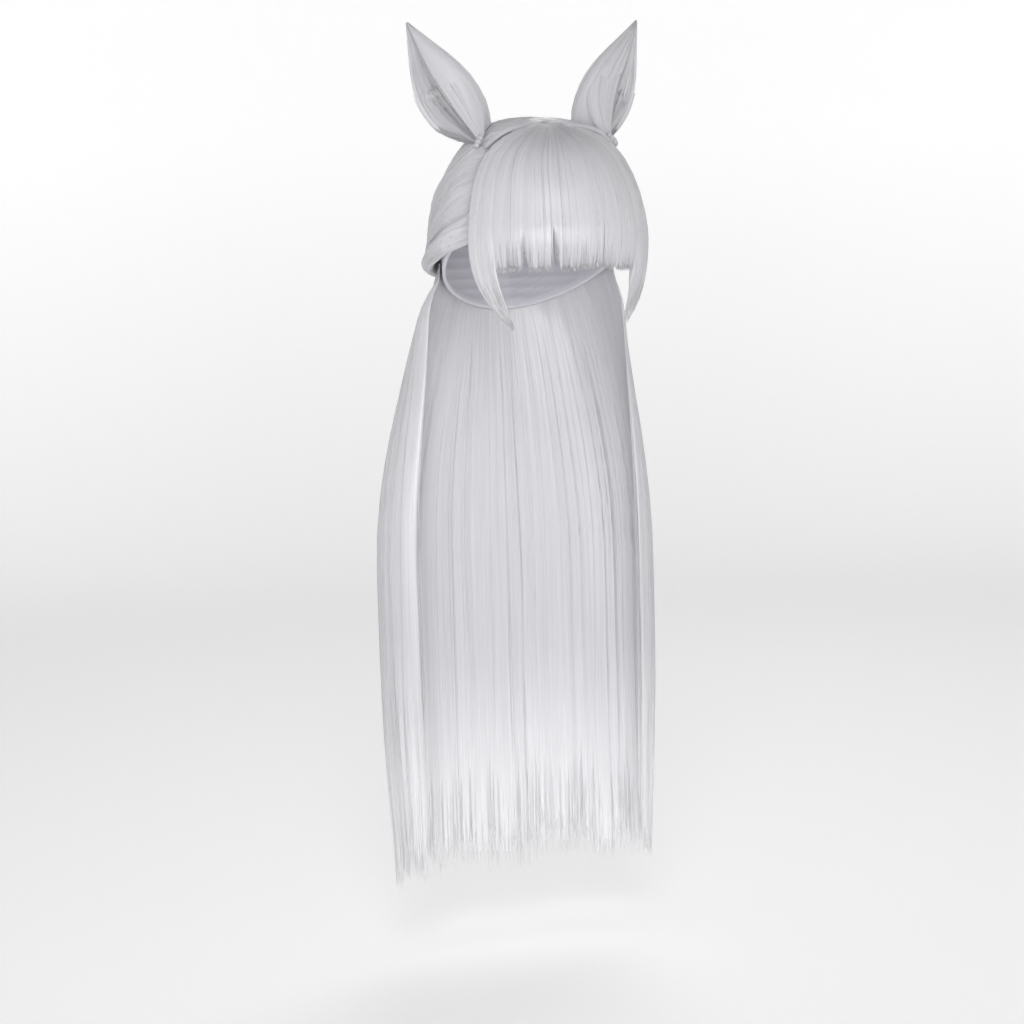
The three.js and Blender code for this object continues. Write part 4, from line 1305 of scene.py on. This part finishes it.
def fibre_material(name, hair):
    """Straight fibre: streaks from the shared group, with a fine bump across the strands.

    A highlight drawn out sideways is that of hanging fibres."""
    if name in bpy.data.materials:
        return bpy.data.materials[name]
    bump, stretch, shade, pale = FINISHES[name]
    material, wiring, shader = new_material(name)
    uv, tint = fibre_sources(wiring)
    streaks = wiring.add("Group", {}, node_tree=fibre_group())
    wiring.put_all(streaks, {
        "Fibre": uv, "Tint": tint, "Shade": scaled(hair.shade, shade), "Pale": scaled(hair.pale, pale),
    })
    wiring.put_all(shader, {
        "Base Color": streaks.outputs["Colour"],
        "Roughness": streaks.outputs["Roughness"],
        "Normal": wiring.bump(streaks.outputs["Height"], bump, 0.2 * MM),
        "Specular IOR Level": 0.5 + 0.6 * stretch,
        "Anisotropic": stretch,
        "Sheen Weight": 0.1,
        "Sheen Roughness": 0.4,
    })
    return material


def net_material(cap):
    """Soft net: two families of fine threads crossing on the bias, with tape where the tint is high."""
    material, wiring, shader = new_material("cap net")
    uv, tint = fibre_sources(wiring)
    threads = []
    for turn in (NET.bias, -NET.bias):
        lay = wiring.add("Mapping", {"Vector": uv, "Rotation": (0, 0, math.radians(turn))})
        wave = wiring.add("TexWave", {"Vector": lay.outputs["Vector"], "Scale": NET.threads})
        threads.append(wave.outputs["Fac"])
    lines = wiring.math("MAXIMUM", *threads)
    fuzz = wiring.add("TexNoise", {"Vector": uv, "Scale": NET.fuzz, "Detail": 3}).outputs["Fac"]
    woven = wiring.blend(lines, scaled(cap.net, NET.between), cap.net)
    wiring.put_all(shader, {
        "Base Color": wiring.blend(tint, woven, cap.tape),
        "Roughness": wiring.math("MULTIPLY_ADD", fuzz, NET.rough_spread, NET.rough),
        "Normal": wiring.bump(wiring.math("ADD", lines, fuzz), 0.5, 0.3 * MM),
        "Sheen Weight": 0.2,
    })
    return material


def paper_material(stage):
    """Plain matt paper with a faint cloudiness. Its glow rises with distance, so the floor fades into the
    surround."""
    material, wiring, shader = new_material("studio paper")
    place = wiring.add("TexCoord", {}).outputs["Object"]
    cloud = wiring.add("TexNoise", {"Vector": place, "Scale": PAPER.clouds}).outputs["Fac"]
    away = wiring.add("VectorMath", {"Vector": place}, operation="LENGTH").outputs["Value"]
    far_glow = stage.glow + stage.far_glow
    wiring.put_all(shader, {
        "Base Color": wiring.blend(cloud, scaled(stage.paper, PAPER.darker), stage.paper),
        "Roughness": 0.9,
        "Specular IOR Level": 0.1,
        "Emission Strength": wiring.rise(away, GLOW_FROM, GLOW_TO, stage.glow, far_glow),
        "Emission Color": (1, 1, 1),
    })
    return material


# Pieces

def finish_piece(piece, node):
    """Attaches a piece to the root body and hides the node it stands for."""
    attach(piece, "root")
    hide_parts(node)


def make_hair(context, name, node, finish, sheets):
    """One piece of hair in place of a node.

    sheets holds the fall of its main sheet and, in some pieces, that of a smaller one added to it, each
    under the name of its work."""
    hair = context.scene.wig_hair
    pile = Pile()
    windows = (MAIN_MAP, ADDED_MAP) if len(sheets) > 1 else (WHOLE_MAP,)
    for pile.window, (work_name, fall) in zip(windows, sheets.items()):
        comb = Comb(work_name, fall, hair, pile)
        comb.add_sheet()
        comb.add_long_strands()
        if comb.work.tufts:
            comb.add_tufts()
    finish_piece(pile.build(name, fibre_material(finish, hair)), node)


def cap_face(rows, outward, spacing):
    """One face of the cap, as its points, tint and fibre map: the head form down to the tilted edge.

    Inside, each sewn row is a low rounded ridge, and the edge tape thickens both faces."""
    turn = np.linspace(0, 360, CAP.columns)[:, None]
    edge = CAP.edge_side - CAP.edge_swing * np.cos(np.radians(turn))
    down = mix(CAP.top_down, edge, np.linspace(0, 1, rows)[None, :])
    run = np.radians(down) * CAP.mean_radius
    tape = ease((run - np.radians(edge) * CAP.mean_radius + CAP.tape_width) / CAP.tape_edge)
    row = np.cos(np.pi * run / spacing) ** CAP.row_power * ramp(run, *CAP.rows_at) * (1 - tape)
    lift = CAP.wall + CAP.tape_out * tape if outward else 0.0 - CAP.row_height * row - CAP.tape_in * tape
    off_ribbon = np.abs((turn / CAP.ribbon_turn + 0.5) % 1 - 0.5)
    ribbon = ease((CAP.ribbon_half - off_ribbon) / CAP.ribbon_edge) * ramp(run, *CAP.ribbon_at)
    points = on_head(turn, down, lift)
    points[-1] = points[0]
    tint = CAP.tint + CAP.row_tint * row + CAP.tape_tint * tape + CAP.ribbon_tint * ribbon
    tint = np.clip(tint, 0, 1)
    fibre = stacked(np.radians(turn) * CAP.girth_radius * np.sin(np.radians(down)), run)
    return points.reshape(-1, 3), tint.ravel(), fibre.reshape(-1, 2)


class WIG_OT_cap(bpy.types.Operator):
    """Make the net cap with its sewn rows and edge tape"""

    bl_idname = "wig.make_cap"
    bl_label = "Cap"

    def execute(self, context):
        cap = context.scene.wig_cap
        columns, outer_rows, inner_rows = CAP.columns, CAP.outer_rows, CAP.inner_rows
        outer = cap_face(outer_rows, True, cap.row_spacing / MM)
        inner = cap_face(inner_rows, False, cap.row_spacing / MM)
        points, tint, fibre = (np.concatenate(pair) for pair in zip(outer, inner))
        outer_face = grid_faces(columns, outer_rows)
        inner_face = grid_faces(columns, inner_rows)[:, ::-1]
        size = columns * outer_rows
        top_out = np.arange(columns) * outer_rows
        top_in = np.arange(columns) * inner_rows + size
        rim_out, rim_in = top_out + outer_rows - 1, top_in + inner_rows - 1
        pile = Pile()
        pile.add_outward(
            points, tint, fibre,
            [outer_face, inner_face + size, wall_quads(rim_in, rim_out), wall_quads(top_out, top_in)],
            [
                grid_spots(OUTER_MAP, columns, outer_rows, outer_face),
                grid_spots(INNER_MAP, columns, inner_rows, inner_face),
                wall_spots(columns, *RIM_STRIP), wall_spots(columns, *TOP_STRIP),
            ],
        )
        finish_piece(pile.build("net_cap", net_material(cap)), "cap")
        return {"FINISHED"}


class WIG_OT_fringe(bpy.types.Operator):
    """Make the blunt fringe"""

    bl_idname = "wig.make_fringe"
    bl_label = "Fringe"

    def execute(self, context):
        make_hair(context, "blunt_fringe", "fringe", "straight fibre", {"fringe": fringe_fall()})
        return {"FINISHED"}


class WIG_OT_side_locks(bpy.types.Operator):
    """Make the tapered lock at each temple"""

    bl_idname = "wig.make_side_locks"
    bl_label = "Temple locks"

    def execute(self, context):
        for name, lock in SIDE_LOCKS.items():
            node = f"side_lock_{name}"
            make_hair(context, f"temple_lock_{name}", node, "straight fibre", {node: side_lock_fall(**lock)})
        return {"FINISHED"}


class WIG_OT_crown(bpy.types.Operator):
    """Make both halves of the crown"""

    bl_idname = "wig.make_crown"
    bl_label = "Crown"

    def execute(self, context):
        for name, side in SIDES.items():
            node = f"crown_{name}"
            sheets = {node: crown_fall(side), f"lead_{name}": lead_lock_fall(side)}
            make_hair(context, f"crown_hair_{name}", node, "swept fibre", sheets)
        return {"FINISHED"}


class WIG_OT_swept_sides(bpy.types.Operator):
    """Make the side hair swept back under the ears"""

    bl_idname = "wig.make_swept_sides"
    bl_label = "Swept sides"

    def execute(self, context):
        for name, side in SIDES.items():
            node = f"swept_side_{name}"
            make_hair(context, f"swept_hair_{name}", node, "swept fibre", {node: swept_fall(name, side)})
        return {"FINISHED"}


class WIG_OT_back_hair(bpy.types.Operator):
    """Make both halves of the loose hair that hangs behind"""

    bl_idname = "wig.make_back_hair"
    bl_label = "Back hair"

    def execute(self, context):
        for name, side in SIDES.items():
            node = f"back_hair_{name}"
            make_hair(context, f"loose_hair_{name}", node, "straight fibre", {node: curtain_fall(name, side)})
        return {"FINISHED"}


class WIG_OT_tail(bpy.types.Operator):
    """Make the hair tied behind"""

    bl_idname = "wig.make_tail"
    bl_label = "Tied tail"

    def execute(self, context):
        make_hair(context, "hanging_tail", "tied_tail", "straight fibre", {"tied_tail": tail_fall()})
        return {"FINISHED"}


class WIG_OT_band(bpy.types.Operator):
    """Make the band round the tied hair: an oval ring whose tube is wound from coils of covered thread"""

    bl_idname = "wig.make_band"
    bl_label = "Band"

    def execute(self, context):
        turn = np.linspace(0, FULL_TURN, BAND.steps)[:, None]
        roll = np.linspace(0, FULL_TURN, BAND.sides)[None, :]
        coils = np.sqrt(np.abs(np.cos(BAND.coils * np.sin(roll) + BAND.wind * turn)))
        thread = BAND.thread * np.cos(BAND.threads * turn + BAND.thread_wind * roll)
        tube = BAND.tube * (BAND.between + (1 - BAND.between) * coils) + thread - BAND.thread
        points = stacked(
            (TAIL.neck_half_width + BAND.beside + tube * np.cos(roll)) * np.cos(turn),
            TAIL.neck_y + (TAIL.neck_half_depth + BAND.behind + tube * np.cos(roll)) * np.sin(turn),
            BAND.z + tube * BAND.tall * np.sin(roll),
        )
        points[-1] = points[0]
        points[:, -1] = points[:, 0]
        pile = Pile()
        tint = BAND.tint + BAND.coil_tint * coils + BAND.thread_tint * thread
        add_closed_tube(pile, points, tint, stacked(turn * BAND.map_round, roll * BAND.map_tube))
        material = fibre_material("covered elastic", context.scene.wig_hair)
        finish_piece(pile.build("elastic_band", material), "tail_band")
        return {"FINISHED"}


class WIG_OT_ears(bpy.types.Operator):
    """Make the pointed ears covered in combed fibre"""

    bl_idname = "wig.make_ears"
    bl_label = "Ears"

    def execute(self, context):
        for name, ear in EARS.items():
            node = f"ear_{name}"
            fall = ear_fall(**ear)
            sheets = {node: fall, f"gathered_{name}": gathered_fall(fall, ear["side"])}
            make_hair(context, f"soft_ear_{name}", node, "ear fibre", sheets)
        return {"FINISHED"}


def knot_points(side, along, turn, plies):
    """A twist of two plies: a blunt round bar laid on the head, whose radius swells over each ply."""
    raised = EAR.lift + KNOT.radius + KNOT.stand
    centre = on_head(side * KNOT.turn, KNOT.down, raised)
    line = unit(on_head(side * KNOT.turn, KNOT.down + KNOT.step, raised) - centre)
    up = unit(centre + np.array((0, 0, HEAD.height)))
    across = unit(np.cross(line, up))
    radius = KNOT.radius * np.sqrt(np.maximum(0, 1 - along ** 4))
    thread = KNOT.thread * np.cos(KNOT.threads * turn + KNOT.thread_twist * along)
    radius = radius * (KNOT.between + KNOT.swell * np.sqrt(plies) + thread)
    points = (
        centre + line * (along * KNOT.half_length)[..., None] + 0 * turn[..., None]
        + across * (radius * np.cos(turn))[..., None] + up * (radius * np.sin(turn))[..., None]
    )
    points[:, -1] = points[:, 0]
    return points


class WIG_OT_knots(bpy.types.Operator):
    """Make the twist of hair at the front of each ear"""

    bl_idname = "wig.make_knots"
    bl_label = "Ear knots"

    def execute(self, context):
        along = np.linspace(-1, 1, KNOT.steps)[:, None]
        turn = np.linspace(0, FULL_TURN, KNOT.sides)[None, :]
        plies = np.abs(np.cos(0.5 * turn + KNOT.twist * along))
        fibre = stacked(turn * KNOT.map_round + along * KNOT.map_slant, along * KNOT.half_length)
        material = fibre_material("swept fibre", context.scene.wig_hair)
        for name, side in SIDES.items():
            pile = Pile()
            # Darker where the plies part: painted shade in the grooves
            tint = KNOT.ply_tint * plies + KNOT.tint
            add_closed_tube(pile, knot_points(side, along, turn, plies), tint, fibre)
            finish_piece(pile.build(f"twist_{name}", material), f"ear_knot_{name}")
        return {"FINISHED"}


# Stage

def make_sweep(stage):
    """A floor that curves up into a backdrop: a straight line, a quarter circle and a straight line."""
    bend = np.linspace(0, np.pi / 2, SWEEP.steps)
    y = np.concatenate([[SWEEP.front], SWEEP.back + SWEEP.bend * np.sin(bend), [SWEEP.back + SWEEP.bend]])
    z = np.concatenate([[0], SWEEP.bend - SWEEP.bend * np.cos(bend), [SWEEP.top]]) + stage.floor_height
    x = np.linspace(-SWEEP.half_width, SWEEP.half_width, SWEEP.columns)[:, None]
    points = stacked(x, y[None, :], z[None, :]).reshape(-1, 3)
    mesh = bpy.data.meshes.new("sweep")
    mesh.from_pydata(points.tolist(), [], grid_faces(SWEEP.columns, len(y)).tolist())
    mesh.polygons.foreach_set("use_smooth", np.ones(len(mesh.polygons), bool))
    mesh.transform(Matrix.Rotation(stage.azimuth, 4, "Z"))
    mesh.materials.append(paper_material(stage))
    sweep = bpy.data.objects.new("sweep", mesh)
    bpy.context.scene.collection.objects.link(sweep)


def make_lights(stage, scene):
    """A front light above, a broad low one and one behind."""
    for name, turn, height, distance, radius, share in LIGHTS:
        data = bpy.data.lights.new(name, "SPOT")
        data.spot_size = math.radians(SPOT_ANGLE)
        data.spot_blend = 1
        data.shadow_soft_size = radius
        data.energy = stage.key * share
        light = bpy.data.objects.new(name, data)
        light.visible_camera = False
        swing = Matrix.Rotation(stage.azimuth + math.radians(turn), 4, "Z")
        lean = Matrix.Rotation(math.radians(90 - height), 4, "X")
        back_off = Matrix.Translation((0, 0, distance))
        light.matrix_world = Matrix.Translation(LIT_POINT) @ swing @ lean @ back_off
        scene.collection.objects.link(light)


def make_surround(stage, scene):
    """A pale light all round that is darker overhead."""
    world = bpy.data.worlds.new("pale surround")
    world.use_nodes = True
    wiring = Wiring(world.node_tree)
    place = wiring.add("TexCoord", {}).outputs["Generated"]
    height = wiring.add("SeparateXYZ", {"Vector": place}).outputs["Z"]
    overhead = stage.ambient * stage.overhead
    wiring.put_all(world.node_tree.nodes["Background"], {
        "Strength": wiring.rise(height, SKY_FROM, SKY_TO, stage.ambient, overhead),
        "Color": (1, 1, 1),
    })
    scene.world = world


def make_camera(stage, scene):
    """A camera on the azimuth, level with its target, turned until the target falls on its pixel."""
    data = bpy.data.cameras.new("camera")
    data.sensor_width = SENSOR
    data.lens = stage.lens
    focal = stage.lens / SENSOR * PICTURE
    roll = stage.roll
    across = AIM[0] * math.cos(roll) - AIM[1] * math.sin(roll)
    below = AIM[0] * math.sin(roll) + AIM[1] * math.cos(roll)
    yaw = math.atan(across / focal)
    pitch = math.atan(-below / focal * math.cos(yaw))
    round_wig = Matrix.Rotation(stage.azimuth, 4, "Z")
    level = Matrix.Rotation(math.pi / 2 - pitch, 4, "X")
    turn = level @ Matrix.Rotation(yaw, 4, "Y") @ Matrix.Rotation(-roll, 4, "Z")
    back_off = Matrix.Translation((0, -stage.distance, 0))
    camera = bpy.data.objects.new("camera", data)
    camera.matrix_world = Matrix.Translation(Vector(TARGET)) @ round_wig @ back_off @ turn
    scene.collection.objects.link(camera)
    scene.camera = camera


class WIG_OT_stage(bpy.types.Operator):
    """Make the floor, the lights and the camera"""

    bl_idname = "wig.make_stage"
    bl_label = "Stage"

    def execute(self, context):
        stage = context.scene.wig_stage
        make_sweep(stage)
        make_lights(stage, context.scene)
        make_surround(stage, context.scene)
        make_camera(stage, context.scene)
        context.scene.view_settings.view_transform = "Standard"
        return {"FINISHED"}


# Add-on

OPERATORS = [
    WIG_OT_stage, WIG_OT_cap, WIG_OT_fringe, WIG_OT_side_locks, WIG_OT_crown, WIG_OT_swept_sides,
    WIG_OT_back_hair, WIG_OT_tail, WIG_OT_band, WIG_OT_ears, WIG_OT_knots,
]
SETTINGS = {"wig_hair": HairSettings, "wig_cap": CapSettings, "wig_stage": StageSettings}


class WIG_PT_panel(bpy.types.Panel):
    """Lists the wig's settings and its pieces"""

    bl_idname = "WIG_PT_panel"
    bl_label = "Wig"
    bl_space_type = "VIEW_3D"
    bl_region_type = "UI"
    bl_category = "Wig"

    def draw(self, context):
        for name, group in SETTINGS.items():
            box = self.layout.box()
            for field in group.__annotations__:
                box.prop(getattr(context.scene, name), field)
        for operator in OPERATORS:
            self.layout.operator(operator.bl_idname)


CLASSES = [*SETTINGS.values(), *OPERATORS, WIG_PT_panel]


def register():
    """Adds the classes, and the settings to the scene."""
    for kind in CLASSES:
        bpy.utils.register_class(kind)
    for name, group in SETTINGS.items():
        setattr(bpy.types.Scene, name, PointerProperty(type=group))


def unregister():
    """Takes the settings and the classes away."""
    for name in SETTINGS:
        delattr(bpy.types.Scene, name)
    for kind in reversed(CLASSES):
        bpy.utils.unregister_class(kind)


def main():
    """Builds every piece in order."""
    register()
    bpy.ops.wig.make_stage()
    bpy.ops.wig.make_cap()
    bpy.ops.wig.make_fringe()
    bpy.ops.wig.make_side_locks()
    bpy.ops.wig.make_crown()
    bpy.ops.wig.make_swept_sides()
    bpy.ops.wig.make_back_hair()
    bpy.ops.wig.make_tail()
    bpy.ops.wig.make_band()
    bpy.ops.wig.make_ears()
    bpy.ops.wig.make_knots()


if __name__ == "__main__":
    main()
